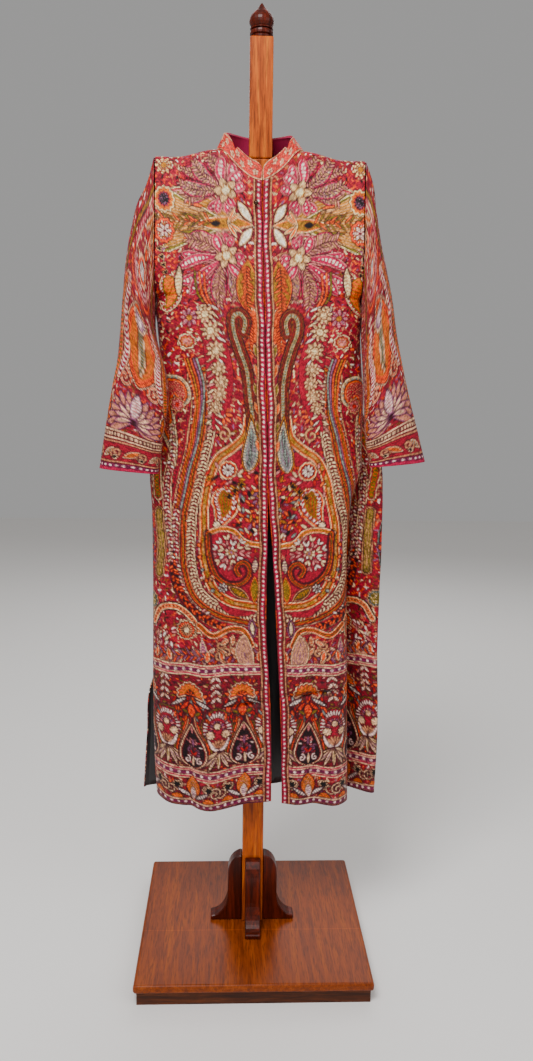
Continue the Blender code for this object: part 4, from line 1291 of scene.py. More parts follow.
        n.stroke(line, 17, (1.6, CREAM), (2.2, ORANGE), (1.4, WINE), (2, GOLD),
            (6, OLIVE, STREAKS, BEIGE, 4))
        for at in ((128, 812), (126, 790), (121, 766), (112, 746), (99, 726), (82, 712)):
            n.rosette(at, 4.4, 6, (1, WINE), (4, (ORANGE, TEAL)[at[0] % 2]), lobes=0.3)
        n.scatter((16, 100, 900, 958), 10, 13, 4.2, (CORAL, ORANGE, SOOT, GOLD, BLUSH, SCARLET, CREAM))
        hook = ((82, 918), (76, 886), (84, 862), (98, 840))
        n.stroke(hook, 52, (1.8, CREAM), (3, ORANGE), (1.6, WINE), (6.5, CRIMSON, LEAVES, WHITE, 7),
            (1.6, GOLD), (14, OLIVE, STREAKS, SCARLET, 5), outline=DROP)
        n.rosette((94, 850), 8, 8, (1.5, WINE), (7, CREAM, NET, WHITE, 4))
        n.scatter((10, 54, 834, 918), 8.5, 12, 4.4,
            (ORANGE, SOOT, CREAM, GOLD, SCARLET, TEAL, ORANGE, LILAC))
        ridge = ((114, 834), (88, 842), (62, 836), (42, 818), (12, 810))
        n.stroke(ridge, 10, (1.5, CREAM), (2, ORANGE), (6, OLIVE, BARS, GOLD, 6))
        for ring, count, length in ((0, 8, 12), (13, 9, 12), (24, 13, 11)):
            for k in range(count):
                facing = 360 / count * k + 17 * ring
                way = math.radians(facing)
                at = ahead((68, 797), way, 1.1 * ring, ring)
                for turn in (-28, 28):
                    n.leaf(at, facing + turn, length, 3.8, (5, (WHITE, CREAM, BLUSH)[k % 3]))
        n.rosette((68, 797), 5, 6, (1.5, GOLD), (6, LILAC))
        spiral = ((108, 832), (104, 790), (94, 760), (76, 744), (54, 740), (38, 750), (36, 766), (46, 776),
            (55, 768), (50, 759))
        for shift, thread in ((8, WINE), (5.5, ORANGE), (3, OLIVE), (0.5, CORAL), (-2, WINE)):
            n.side_band(spiral, shift - 1.3, shift + 1.3, (3, thread))
        for at, size, thread, second in (((80, 731), 9, TEAL, WHITE), ((102, 750), 6, ORANGE, CREAM)):
            n.petals(at, 7, size, 5, (0.8, WINE), (5, thread, BARS, second, 4), start=1)
        n.leaf((32, 708), 35, 46, 17, (1.5, BEIGE), (2, WINE), (10, OLIVE, LEAVES, GOLD, 6))
        n.stroke(((22, 752), (22, 702)), 16, (1.4, ORANGE), (9, OLIVE, NET, GOLD, 5), outline=LEAF)
        n.leaf((23, 758), 90, 28, 12, (1.4, WINE), (8, LILAC, BARS, CREAM, 5))

    def outer_paisleys(self) -> None:
        """Sews the curling paisley beside the waist and what lies between the great one and the side seam."""
        n = self.needle
        curl = ((160, 1066), (152, 1082), (160, 1098), (180, 1094), (190, 1070), (184, 1036), (176, 1000),
            (170, 950))
        n.stroke(curl, 46, (1.8, CREAM), (3.4, TEAL, BARS, BEIGE, 5), (2, WINE), (3, ORANGE),
            (14, CRIMSON, NET, BEIGE, 5), outline=DROP)
        n.rosette((162, 1068), 15, 9, (2, BEIGE), (3, CRIMSON), (3, BLUSH), (8, SCARLET, NET, SOOT, 5))
        for k, thread in enumerate((ORANGE, GOLD, CORAL, LILAC, TEAL)):
            shift = 5.6 * k
            n.stroke(((146 - shift, 1150), (132 - shift * 0.9, 1110), (128 - shift * 0.6, 1060),
                (140 - shift * 0.6, 1010), (154 - shift * 0.5, 950), (168 - shift * 0.4, 880)), 2.6,
                (4, thread))
        n.stroke(((212, 1150), (206, 1060), (208, 980), (204, 900)), 19, (1.6, CREAM), (3, CRIMSON),
            (12, OLIVE, NET, ORANGE, 7))
        strip = ((172, 1040), (176, 980), (186, 900), (180, 780))
        n.stroke(strip, 17, (1.4, CREAM), (12, CRIMSON), outline=LEAF)
        n.sprigs(strip, 7, 8, 3, (WHITE, CREAM, BLUSH))
        n.stroke(((203, 868), (200, 812), (203, 756)), 21, (1.6, BEIGE), (2, WINE),
            (14, OLIVE, STREAKS, BEIGE, 5))
        n.stroke(((238, 880), (232, 812), (238, 740)), 24, (1.6, TEAL), (3, SOOT),
            (14, SCARLET, NET, ORANGE, 7), outline=LEAF)
        n.rosette((228, 800), 11, 8, (1.6, LILAC), (3, WINE), (8, ORANGE))
        n.rosette((222, 700), 18, 10, (2, BEIGE), (4, TEAL, BARS, SOOT, 5), (14, OLIVE, NET, CREAM, 5),
            lobes=0.1)
        hood = ((216, 660), (196, 688), (164, 692), (140, 674), (126, 650))
        n.stroke(hood, 15, (1.6, SOOT), (2, CREAM), (2.4, ORANGE), (5, BEIGE, BARS, WINE, 7))
        n.rosette((150, 650), 20, 14, (1.6, CREAM), (2, SOOT), (3.4, ORANGE, BARS, CRIMSON, 7),
            (14, BEIGE, BARS, WINE, 7), lobes=0.1)
        n.rosette((150, 650), 6, 6, (7, CREAM))
        n.scatter((178, 208, 606, 648), 9, 11, 4, (WHITE, CREAM, BLUSH))
        n.stroke(((210, 584), (184, 590), (158, 612)), 30, (1.6, SOOT), (2, CREAM),
            (16, BEIGE, STREAKS, LILAC, 5), outline=LEAF)
        n.leaf((120, 584), 90, 50, 13, (1.2, CREAM), (9, LILAC, LEAVES, BLUSH, 6))
        for facing in (28, 52, 128, 152):
            n.leaf((120, 592), facing, 34, 9, (1.2, CREAM), (7, LILAC, BARS, BEIGE, 4))
        wave = ((126, 660), (100, 641), (68, 652), (42, 648), (29, 622))
        n.stroke(wave, 11, (1.4, CREAM), (2, ORANGE), (1.4, WINE), (5, GOLD))
        n.sprigs(((10, 604), (60, 600), (130, 600), (215, 600)), 6.5, 16, 2.6, (BEIGE, LILAC, CREAM, CORAL))
        for at, facing in (((88, 622), 150), ((78, 606), 20), ((66, 620), 100), ((92, 602), 240),
                ((60, 600), 60)):
            n.scroll(at, 9, 1.1, facing, 3.2, (4, BEIGE))
            n.leaf(at, facing, 20, 8, (1.1, CREAM), (7, BEIGE, BARS, CORAL, 4))
        n.stroke(((42, 642), (44, 604), (30, 568)), 34, (1.6, CREAM), (16, BEIGE, STREAKS, LILAC, 5),
            outline=LEAF)
        n.leaf((26, 636), 90, 36, 14, (1.6, LILAC), (2.4, WINE), (10, CREAM))

    def canes(self) -> None:
        """Sews the grey-green canes beside the opening, which curl at the top and swell below."""
        n = self.needle
        n.stroke(((26, 1322), (30, 1276), (28, 1228)), 36, (1.5, ORANGE), (20, GOLD, STREAKS, OLIVE, 5),
            outline=LEAF)
        n.stroke(((20, 1240), (20, 1200), (26, 1160)), 22, (1.5, CREAM), (20, ORANGE, STREAKS, CORAL, 5),
            outline=LEAF)
        n.sprigs(((28, 1316), (30, 1276), (28, 1160)), 5.5, 13, 2.4, (OLIVE, ORANGE, BEIGE, CORAL))
        cane = ((40, 1196), (36, 1214), (44, 1228), (56, 1222), (57, 1196), (47, 1166), (35, 1130),
            (28, 1080), (27, 1030), (31, 990))
        for reach, thread in ((22, WINE), (19, GOLD), (15.5, CRIMSON), (12, ORANGE), (9, SOOT)):
            n.stroke(cane, reach, (20, thread))
        n.stroke(cane, 6, (1, BEIGE), (8, TEAL, BARS, OLIVE, 5))
        n.stroke(((29, 1052), (29, 1000), (37, 946)), 32, (1.6, GOLD), (1.8, WINE),
            (2.4, CREAM, BARS, TEAL, 5), (5, TEAL, STREAKS, LILAC, 5), outline=SWELL)
        n.stroke(((29, 1022), (31, 990), (35, 960)), 3.4, (4, TEAL, BEADS, SOOT, 5))
        for k in range(6):
            n.leaf((14, 1150 - 34 * k), 76, 26, 8, (1.2, BEIGE), (7, (OLIVE, ORANGE)[k % 2]))
        n.rosette((73, 950), 17, 10, (1.6, CREAM), (2, ORANGE), (1.4, WINE), (12, CRIMSON), lobes=0.06)
        n.petals((73, 950), 9, 9, 4, (5, WHITE), start=2)
        n.scroll((80, 1014), 13, 1.2, 90, 3.4, (5, BEIGE))
        n.petals((79, 1048), 8, 17, 7, (1.2, CRIMSON), (8, ORANGE, STREAKS, CREAM, 4))
        n.rosette((79, 1048), 5, 6, (5, WHITE))
        for k in range(3):
            n.rosette((47 + 11 * k, 922 - 10 * k), 7, 4, (1.2, GOLD), (7, SOOT), lobes=0.4)

    def roses(self) -> None:
        """Sews the column of puffed cream roses with their long white leaves towards the centre."""
        n = self.needle
        stem = ((108, 1248), (96, 1190), (84, 1140), (80, 1090), (88, 1050), (99, 1020))
        n.stroke(stem, 46, (30, CRIMSON), outline=LEAF)
        for k in range(24):
            at = (100 - 2.2 * k + 0.085 * k * k, 1244 - 9.2 * k)
            n.leaf(at, 208 + 16 * (k % 3), 22 - 0.3 * k, 3.2, (6, (WHITE, CREAM)[k % 2]))
            n.leaf((at[0] + 6, at[1]), 340 - 14 * (k % 3), 15, 3, (6, (CREAM, BLUSH)[k % 2]))
        for at, size in (((106, 1228), 12), ((98, 1198), 13), ((90, 1164), 13), ((84, 1132), 9),
                ((80, 1108), 8), ((84, 1086), 9), ((90, 1064), 7)):
            n.petals(at, 9, size + 3, 6, (1, BEIGE), (6, CREAM, BARS, BEIGE, 4), first=size, start=2)
            n.rosette(at, size * 0.6, 7, (1.2, BEIGE), (6, CREAM, NET, BEIGE, 4), lobes=0.25)

    def skirt_flowers(self) -> None:
        """Sews the pairs of coral leaves, like small tulips, that stand on the upper line of the hem border."""
        n = self.needle
        for k in range(-4, 5):
            middle = 52 + self.repeat * k
            for at, facing in (((middle - 34, 590), 100), ((middle + 34, 590), 80)):
                n.leaf(at, facing, 22, 9, (1.2, CREAM), (8, CORAL, BARS, ORANGE, 4))

    def hem_border(self) -> None:
        """Sews the deep hem border: dotted lines, fans, medallions, upright drops and the scroll band."""
        n = self.needle
        n.side_band(((-400, 572), (400, 572)), -196, 0, (300, MADDER))
        n.scatter((-10, 250, 384, 556), 8.5, 8, 2.8, (WINE, CORAL, BLUSH, CRIMSON, OLIVE, BEIGE))
        for level in (574, 372):
            line = ((-400, level), (400, level))
            n.side_band(line, -11, 11, (2.2, CREAM), (3, RASPBERRY), (1.4, CREAM),
                (9, PLUM, BEADS, WHITE, 15))
        for k in range(-1, 3):
            self.net_unit(52 + self.repeat * k)
            self.medallion_unit(3 + self.repeat * k)
        for k in range(-1, 3):
            drop = 52 + self.repeat * k
            self.fan_unit(drop)
            self.drop_unit(drop)
            self.scroll_unit(drop)
        line = ((-400, self.hem), (400, self.hem))
        for low, high, band in ((-6, 2, (8, PLUM)), (2, 4, (3, BEIGE)), (4, 12, (8, PLUM, BEADS, WHITE, 13)),
                (12, 14, (3, CREAM))):
            n.side_band(line, low, high, band)

    def net_unit(self, middle: float) -> None:
        """Sews the olive lines that run between the drops and the medallions."""
        n = self.needle
        for way in (-1, 1):
            for k, thread in enumerate((OLIVE, CORAL, BEIGE)):
                n.stroke(((middle + (40 - 4 * k) * way, 392), (middle + (33 - 4 * k) * way, 430),
                    (middle + (18 - 4 * k) * way, 466), (middle + (10 - 3 * k) * way, 500)), 2.4,
                    (4, thread))

    def fan_unit(self, middle: float) -> None:
        """Sews the golden fan under the upper line over red sprays and an orange tulip."""
        n = self.needle
        n.scatter((middle - 34, middle + 26, 484, 522), 6, 12, 3.6,
            (SCARLET, ORANGE, CORAL, MADDER, SCARLET, TEAL, WINE), facing=270)
        for way in (-1, 1):
            n.leaf((middle + 17 * way, 520), 90 - 60 * way, 20, 7, (1, WINE), (6, ORANGE))
        n.fan((middle, 524), 90, 214, 26, 9, (1.6, CREAM), (2.4, MADDER), (16, ORANGE, BARS, GOLD, 4))
        n.fan((middle, 523), 90, 190, 10, 5, (10, SOOT, BARS, CORAL, 6))
        for way in (-1, 1):
            n.leaf((middle + 8 * way, 518), 90 - 118 * way, 34, 8, (1.2, WINE), (8, TEAL, BARS, WHITE, 5))
            n.leaf((middle + 4 * way, 512), 90 - 138 * way, 30, 8, (1.2, WINE), (8, SCARLET, BARS, CORAL, 4))
            n.leaf((middle + 2 * way, 486), 90 - 62 * way, 20, 7, (1, WINE), (7, OLIVE))
        n.leaf((middle, 482), 90, 26, 17, (1.2, WINE), (9, ORANGE, LEAVES, SCARLET, 6))

    def drop_unit(self, middle: float) -> None:
        """Sews the dark upright drop with its pale scrolls."""
        n = self.needle
        n.stroke(((middle, 384), (middle, 418), (middle, 474)), 60, (2.2, WINE), (1.8, CREAM), (2.4, MADDER),
            (40, SOOT, NET, WINE, 7), outline=DROP)
        n.scatter((middle - 13, middle + 9, 400, 434), 6.5, 8, 2.4, (LILAC, CRIMSON, WHITE, MADDER, BLUSH))
        for way in (-1, 1):
            n.scroll((middle + 13 * way, 400), 7, 1.1 * way, 90, 2, (3, WHITE))
            n.scroll((middle + 10 * way, 418), 6, -1.1 * way, 250, 1.9, (3, LILAC))
            n.scroll((middle + 6 * way, 436), 5, 1 * way, 90, 1.8, (3, BLUSH))
            n.leaf((middle, 410), 90 - 40 * way, 12, 3.4, (3, SCARLET))
        n.leaf((middle, 388), 90, 20, 4.4, (7, CREAM))
        n.leaf((middle, 426), 90, 16, 4.4, (7, LILAC))
        n.leaf((middle, 452), 90, 14, 4, (7, BLUSH))

    def medallion_unit(self, middle: float) -> None:
        """Sews the round medallion with its flowers, its crescent cup and the sheaf of leaves below it."""
        n = self.needle
        for k in range(4):
            for facing in (228, 312):
                n.leaf((middle, 562 - 13 * k), facing, 14, 4.6, (6, WHITE, BARS, BEIGE, 4))
        n.rosette((middle, 464), 30, 18, (1.4, OLIVE), (1.4, WINE), (40, CRIMSON), lobes=0.04, tall=1.25)
        for k in range(19):
            way = math.radians(-25 + 230 / 18 * k)
            foot = ahead((middle, 462), way, 17, 23)
            n.leaf(foot, math.degrees(way), 10, 2.8, (4, WHITE))
        for k in range(11):
            way = math.radians(10 + 16 * k)
            n.leaf(ahead((middle, 458), way, 9, 14), math.degrees(way), 7, 2.6, (4, (LILAC, BLUSH)[k % 2]))
        for at, size in (((middle, 468), 7), ((middle - 14, 452), 9), ((middle + 14, 452), 9)):
            n.rosette(at, size, 9, (1.2, WINE), (9, CREAM, NET, BEIGE, 4), lobes=0.2)
        n.stroke(((middle - 20, 446), (middle - 12, 430), (middle, 424), (middle + 12, 430),
            (middle + 20, 446)), 8, (6, WHITE), outline=LEAF)
        n.petals((middle, 424), 5, 18, 4.4, (5, BEIGE), first=50, turn=80, start=2)
        for facing in (214, 228, 244, 270, 296, 312, 326):
            n.leaf((middle, 422), facing, 44 if facing != 270 else 38, 7.5, (1.1, WINE), (1.5, CREAM),
                (8, (LILAC, OLIVE)[facing % 4 == 2]))

    def scroll_unit(self, middle: float) -> None:
        """Sews the low band of pale scrolls, teal leaves and orange arches."""
        n = self.needle
        for way in (-1, 1):
            n.scroll((middle + 27 * way, 346), 12, 1.3 * way, 250, 2.8, (0.7, WINE), (4, CREAM))
            n.scroll((middle + 43 * way, 338), 12, -1.5 * way, 60, 2.8, (0.7, WINE), (4, CREAM))
            n.rosette((middle + 31 * way, 346), 9, 6, (1.2, CREAM), (7, SOOT), lobes=0.3)
            n.leaf((middle + 4 * way, 322), 90 - 56 * way, 34, 8, (1.2, WINE), (8, TEAL, BARS, WHITE, 5))
            n.fan((middle + 31 * way, 318), 90, 170, 12, 5, (1.2, WINE), (9, ORANGE, BARS, GOLD, 5))
        n.leaf((middle, 322), 90, 46, 30, (1.4, WINE), (5, ORANGE, BARS, GOLD, 4), (9, GOLD, NET, BLUSH, 5))
        n.leaf((middle, 320), 90, 26, 13, (1.4, CREAM), (8, LILAC, BARS, WHITE, 4))

    def placket(self) -> None:
        """Sews the narrow band down the centre edge, with its column of beads between two lines."""
        n = self.needle
        line = ((0, 250), (0, 1560))
        for start, end, band in ((-1.4, 1.6, (5, CORAL)), (-3, -1.4, (3, RASPBERRY)), (-9.6, -3,
                (7, RASPBERRY, BEADS, WHITE, 8.6)), (-11.2, -9.6, (3, CORAL)), (-13, -11.2, (3, WINE)),
                (-15, -13, (3, BEIGE))):
            n.side_band(line, start, end, band)


@dataclass
class SleeveDesign:
    """The sleeve's design: u in mm from its front line, w in mm up from the cuff."""

    needle: Needle

    def sew(self) -> Dressing:
        """Sews the sleeve from the bare cloth up."""
        n = self.needle
        n.vines()
        self.upper()
        self.shield()
        self.palmette()
        self.cuff()
        return n.dressing()

    def upper(self) -> None:
        """Sews the dotted strip and the chain of medallions below the shoulder."""
        n = self.needle
        for way in (-1, 1):
            n.stroke(((16 * way, 470), (20 * way, 430), (34 * way, 400)), 12, (2, CREAM),
                (9, ORANGE, BARS, GOLD, 5))
            n.stroke(((46 * way, 460), (52 * way, 400), (44 * way, 350)), 15, (2, CREAM),
                (12, CRIMSON, LEAVES, BLUSH, 8))
            n.stroke(((66 * way, 440), (70 * way, 380), (62 * way, 300)), 13, (2, WINE),
                (10, OLIVE, LEAVES, GOLD, 7))
        n.stroke(((0, 480), (0, 440)), 16, (2, CREAM), (14, CRIMSON, BEADS, WHITE, 7))
        n.petals((0, 425), 9, 15, 8, (1.3, WINE), (8, GOLD, BARS, CREAM, 4))
        n.rosette((0, 405), 9, 3, (1.5, CREAM), (8, CORAL), lobes=0.35)
        n.rosette((0, 383), 11, 8, (1.8, CREAM), (3, SOOT), (9, CORAL), lobes=0.05, tall=1.2)
        n.rosette((0, 352), 20, 10, (2, CREAM), (5, ORANGE, BARS, SCARLET, 5), (2, WINE),
            (14, TEAL, LEAVES, WHITE, 5), lobes=0.12, tall=1)
        for k, thread in enumerate((WHITE, BLUSH, BEIGE, CORAL)):
            arc = [ahead((0, 352), math.radians(a), 26 + 7 * k) for a in range(190, 360, 20)]
            n.stroke(arc, 5, (5, CRIMSON if k % 2 == 0 else thread, BEADS, thread, 5))

    def shield(self) -> None:
        """Sews the veined heart and the pointed golden shield with its green trunk."""
        n = self.needle
        n.stroke(((0, 292), (0, 216), (0, 146)), 78, (2, CREAM), (2.4, WINE), (4, ORANGE), (1.6, WINE),
            (4, CORAL), (30, GOLD, STREAKS, ORANGE, 6), outline=LEAF)
        n.stroke(((0, 272), (0, 200), (0, 166)), 12, (1.6, CREAM), (9, OLIVE, LEAVES, TEAL, 6), outline=LEAF)
        n.rosette((0, 262), 17, 3, (1.8, CREAM), (2, WINE), (14, LILAC, LEAVES, WHITE, 5), lobes=0.3,
            tall=1.1, spin=90)
        for way in (-1, 1):
            n.stroke(((34 * way, 300), (44 * way, 250), (30 * way, 190), (42 * way, 150)), 15, (1.8, CREAM),
                (12, CRIMSON, LEAVES, WHITE, 8))
            n.stroke(((54 * way, 290), (62 * way, 240), (50 * way, 180), (60 * way, 130)), 15, (1.8, BEIGE),
                (12, ORANGE, BARS, OLIVE, 6))
            n.scroll((26 * way, 150), 15, 1.3 * way, 90, 4.4, (1.2, CREAM), (4, CORAL))
            n.stroke(((76 * way, 270), (84 * way, 200), (76 * way, 130)), 18, (1.8, CREAM), (3, WINE),
                (12, LILAC, LEAVES, BLUSH, 7), outline=LEAF)

    def palmette(self) -> None:
        """Sews the large pale palmette above the cuff."""
        n = self.needle
        for way in (-1, 1):
            n.stroke(((18 * way, 70), (48 * way, 84), (54 * way, 120)), 22, (2, CREAM), (3, WINE),
                (14, ORANGE, BARS, GOLD, 5), outline=SWELL)
            n.rosette((76 * way, 96), 18, 9, (2, CREAM), (4, CORAL, BARS, CRIMSON, 6),
                (14, BLUSH, NET, LILAC, 5), lobes=0.12)
        n.petals((0, 84), 15, 50, 13, (1.5, LILAC), (12, BEIGE, STREAKS, BLUSH, 4), first=-30, turn=240)
        n.petals((0, 88), 9, 30, 9, (1.3, LILAC), (10, CREAM, STREAKS, BLUSH, 4), first=-20, turn=220)
        n.leaf((0, 90), 90, 46, 14, (1.5, LILAC), (12, WHITE, LEAVES, BLUSH, 5))

    def cuff(self) -> None:
        """Sews the lines, the scroll band and the dotted edge round the cuff."""
        n = self.needle
        line = ((-400, 0), (400, 0))
        n.side_band(line, -4, 66, (80, CRIMSON))
        for low, high, band in ((62, 65, (3, CREAM)), (55, 60, (5, WINE, BARS, CREAM, 6)),
                (50, 52.4, (3, CREAM)), (45, 47.4, (3, BEIGE)), (13, 15.4, (3, BEIGE)),
                (4.6, 11, (7, PLUM, BEADS, WHITE, 10)), (-3, 4.6, (9, RASPBERRY))):
            n.side_band(line, low, high, band)
        for k in range(-6, 7):
            middle = 34 * k
            n.leaf((middle - 8, 22), 38, 24, 10, (1.3, CREAM), (8, (ORANGE, TEAL)[k % 2], BARS, GOLD, 4))
            n.scroll((middle + 14, 30), 9, 1.2, 200, 3, (3, BEIGE))
            n.rosette((middle + 14, 22), 4.4, 5, (1, CREAM), (4, SOOT))


@dataclass
class CollarDesign:
    """The collar's design: cream flowers on coral, with corded edges; u and w in mm from its middle foot."""

    needle: Needle
    length: float

    def sew(self) -> Dressing:
        """Sews the collar from the bare cloth up."""
        n = self.needle
        reach = self.length / 2
        count = int(reach // 14)
        for k in range(-count, count + 1):
            at = (14 * k + 1.5 * math.sin(4 * k), 16 + (6 if k % 2 else -5) + 1.2 * math.sin(7 * k))
            n.petals(at, 5, 5.4, 3.8, (4, CREAM), first=20 * k, start=0.8)
            n.rosette(at, 1.6, 5, (2, BEIGE))
            for way in (-1, 1):
                n.leaf((at[0] + 3 * way, 33 - at[1]), 60 * way + 20 * k, 3.6, 1.8,
                    (2, (BEIGE, BLUSH)[k % 2]))
        corner = 14
        turn = [(reach - corner * (1 - math.cos(a)), 31 - corner * (1 - math.sin(a))) for a in (0, 0.4, 0.8,
            1.2, 1.57)]
        edge = [(reach - 1, 0), *turn, *((-u, w) for u, w in reversed(turn)), (1 - reach, 0)]
        n.stroke(edge, 3, (3, BEIGE, BARS, CREAM, 3))
        n.stroke(((-reach, 1), (0, 1), (reach, 1)), 3, (3, BEIGE, BARS, CREAM, 3))
        return n.dressing()


@dataclass(frozen=True)
class Embroidery:
    """Twisted silk and wool thread worked closely by hand over a woollen twill, in short raised stitches.

    To the eye it is matt wool with a slight lustre on the top of each thread and dark gaps between them. A real
    stitch is about 0.5 mm thick; it is drawn at 1.3 mm across and 3 mm long, as fine as the render can show.
    """

    name: str
    stitch_across: float = 0.0013
    stitch_along: float = 0.0030
    roughness: float = 0.62
    sheen: float = 0.04
    relief: float = 0.0006

    def make(self) -> bpy.types.Material:
        """Makes the material from the sewn colours and the stitches' own grain.

        Returns:
            The material.
        """
        made, tree, shader = new_finish(self.name)
        thread = add_node(tree, "Attribute", attribute_name="thread").outputs["Color"]
        cut = add_node(tree, "UVMap", uv_map="cut").outputs["UV"]
        scale = (1 / self.stitch_across, 1 / self.stitch_along, 1.0)
        lay = add_node(tree, "Mapping", {"Scale": scale, "Rotation": (0.0, 0.0, 0.5)}, {"Vector": cut})
        grain = add_node(tree, "TexNoise", {"Scale": 1.0, "Detail": 3.0, "Roughness": 0.65},
            {"Vector": lay.outputs["Vector"]})
        # The stitches' uneven tone, with painted shade in the low gaps between threads and a painted highlight
        # on their raised tops.
        light = add_node(tree, "MapRange", {"From Min": 0.3, "From Max": 0.72, "To Min": 0.40,
            "To Max": 1.60}, {"Value": grain.outputs["Fac"]})
        shaded = add_node(tree, "VectorMath", links={0: thread, 1: light.outputs["Result"]},
            operation="MULTIPLY")
        bump = add_node(tree, "Bump", {"Strength": 0.8, "Distance": self.relief},
            {"Height": grain.outputs["Fac"]})
        set_inputs(shader, {"Roughness": self.roughness, "Specular IOR Level": 0.22,
            "Sheen Weight": self.sheen, "Sheen Roughness": 0.5}, {"Base Color": shaded.outputs["Vector"],
            "Normal": bump.outputs["Normal"]})
        return made


@dataclass(frozen=True)
class Silk:
    """Plain woven silk: a soft lustre and a weave too fine to see, drawn as faint threads 1.2 mm apart."""

    name: str
    colour: str
    shade: str

    def make(self) -> bpy.types.Material:
        """Makes the lining from two tones of its colour.

        Returns:
            The material.
        """
        made, tree, shader = new_finish(self.name)
        cut = add_node(tree, "UVMap", uv_map="cut").outputs["UV"]
        lay = add_node(tree, "Mapping", {"Scale": (830.0, 90.0, 1.0)}, {"Vector": cut})
        weave = add_node(tree, "TexNoise", {"Scale": 1.0, "Detail": 2.0}, {"Vector": lay.outputs["Vector"]})
        tone = add_node(tree, "Mix", {6: (*linear(self.shade), 1.0), 7: (*linear(self.colour), 1.0)},
            {0: weave.outputs["Fac"]}, data_type="RGBA")
        bump = add_node(tree, "Bump", {"Strength": 0.25, "Distance": 0.0002},
            {"Height": weave.outputs["Fac"]})
        set_inputs(shader, {"Roughness": 0.48, "Sheen Weight": 0.1}, {"Base Color": tone.outputs[2],
            "Normal": bump.outputs["Normal"]})
        return made


@dataclass(frozen=True)
class Teak:
    """Teak, planed, stained and varnished by hand: fine dark pores along the grain under a half-gloss coat.

    The growth bands are about 9 mm apart and the pores 1.5 mm, both stretched sixteen times along the grain.
    """

    name: str
    dark: str
    middle: str
    light: str
    grain: Grain
    joint_y: float | None = None

    def make(self) -> bpy.types.Material:
        """Makes the varnished wood, with the joint between two boards if it has one.

        Returns:
            The material.
        """
        made, tree, shader = new_finish(self.name)
        place = add_node(tree, "TexCoord").outputs["Object"]
        lay = add_node(tree, "Mapping", {"Scale": self.grain.value}, {"Vector": place}).outputs["Vector"]
        bands = add_node(tree, "TexNoise", {"Scale": 110.0, "Detail": 5.0, "Roughness": 0.6,
            "Distortion": 0.8}, {"Vector": lay})
        pores = add_node(tree, "TexNoise", {"Scale": 660.0, "Detail": 2.0}, {"Vector": lay})
        ramp = add_node(tree, "ValToRGB", links={"Fac": bands.outputs["Fac"]})
        stops = ramp.color_ramp.elements
        stops[0].position, stops[0].color = 0.30, (*linear(self.dark), 1.0)
        stops[1].position, stops[1].color = 0.72, (*linear(self.light), 1.0)
        stops.new(0.50).color = (*linear(self.middle), 1.0)
        dim = add_node(tree, "MapRange", {"From Min": 0.36, "From Max": 0.5, "To Min": 0.55, "To Max": 1.0},
            {"Value": pores.outputs["Fac"]}).outputs["Result"]
        if self.joint_y is not None:
            split = add_node(tree, "SeparateXYZ", links={"Vector": place})
            off = add_node(tree, "Math", {1: self.joint_y}, {0: split.outputs["Y"]}, operation="SUBTRACT")
            far = add_node(tree, "Math", links={0: off.outputs["Value"]}, operation="ABSOLUTE")
            line = add_node(tree, "MapRange", {"From Min": 0.0005, "From Max": 0.0013, "To Min": 1.5,
                "To Max": 1.0}, {"Value": far.outputs["Value"]})
            both = add_node(tree, "Math", links={0: dim, 1: line.outputs["Result"]}, operation="MULTIPLY")
            dim = both.outputs["Value"]
        tone = add_node(tree, "VectorMath", links={0: ramp.outputs["Color"], 1: dim}, operation="MULTIPLY")
        bump = add_node(tree, "Bump", {"Strength": 0.15, "Distance": 0.0003},
            {"Height": pores.outputs["Fac"]})
        worn = add_node(tree, "MapRange", {"To Min": 0.30, "To Max": 0.46}, {"Value": bands.outputs["Fac"]})
        set_inputs(shader, {"Specular IOR Level": 0.2, "Coat Weight": 0.06, "Coat Roughness": 0.2},
            {"Base Color": tone.outputs["Vector"], "Normal": bump.outputs["Normal"],
            "Roughness": worn.outputs["Result"]})
        return made


@dataclass(frozen=True)
class Brass:
    """Cast brass, tarnished by handling: a dark warm metal, brighter where it is rubbed."""

    name: str
    colour: str
    tarnish: str
    roughness: float = 0.34

    def make(self) -> bpy.types.Material:
        """Makes the metal from its rubbed and its tarnished colour.

        Returns:
            The material.
        """
        made, tree, shader = new_finish(self.name)
        place = add_node(tree, "TexCoord").outputs["Object"]
        spots = add_node(tree, "TexNoise", {"Scale": 700.0, "Detail": 3.0}, {"Vector": place})
        tone = add_node(tree, "Mix", {6: (*linear(self.tarnish), 1.0), 7: (*linear(self.colour), 1.0)},
            {0: spots.outputs["Fac"]}, data_type="RGBA")
        set_inputs(shader, {"Metallic": 1.0, "Roughness": self.roughness}, {"Base Color": tone.outputs[2]})
        return made


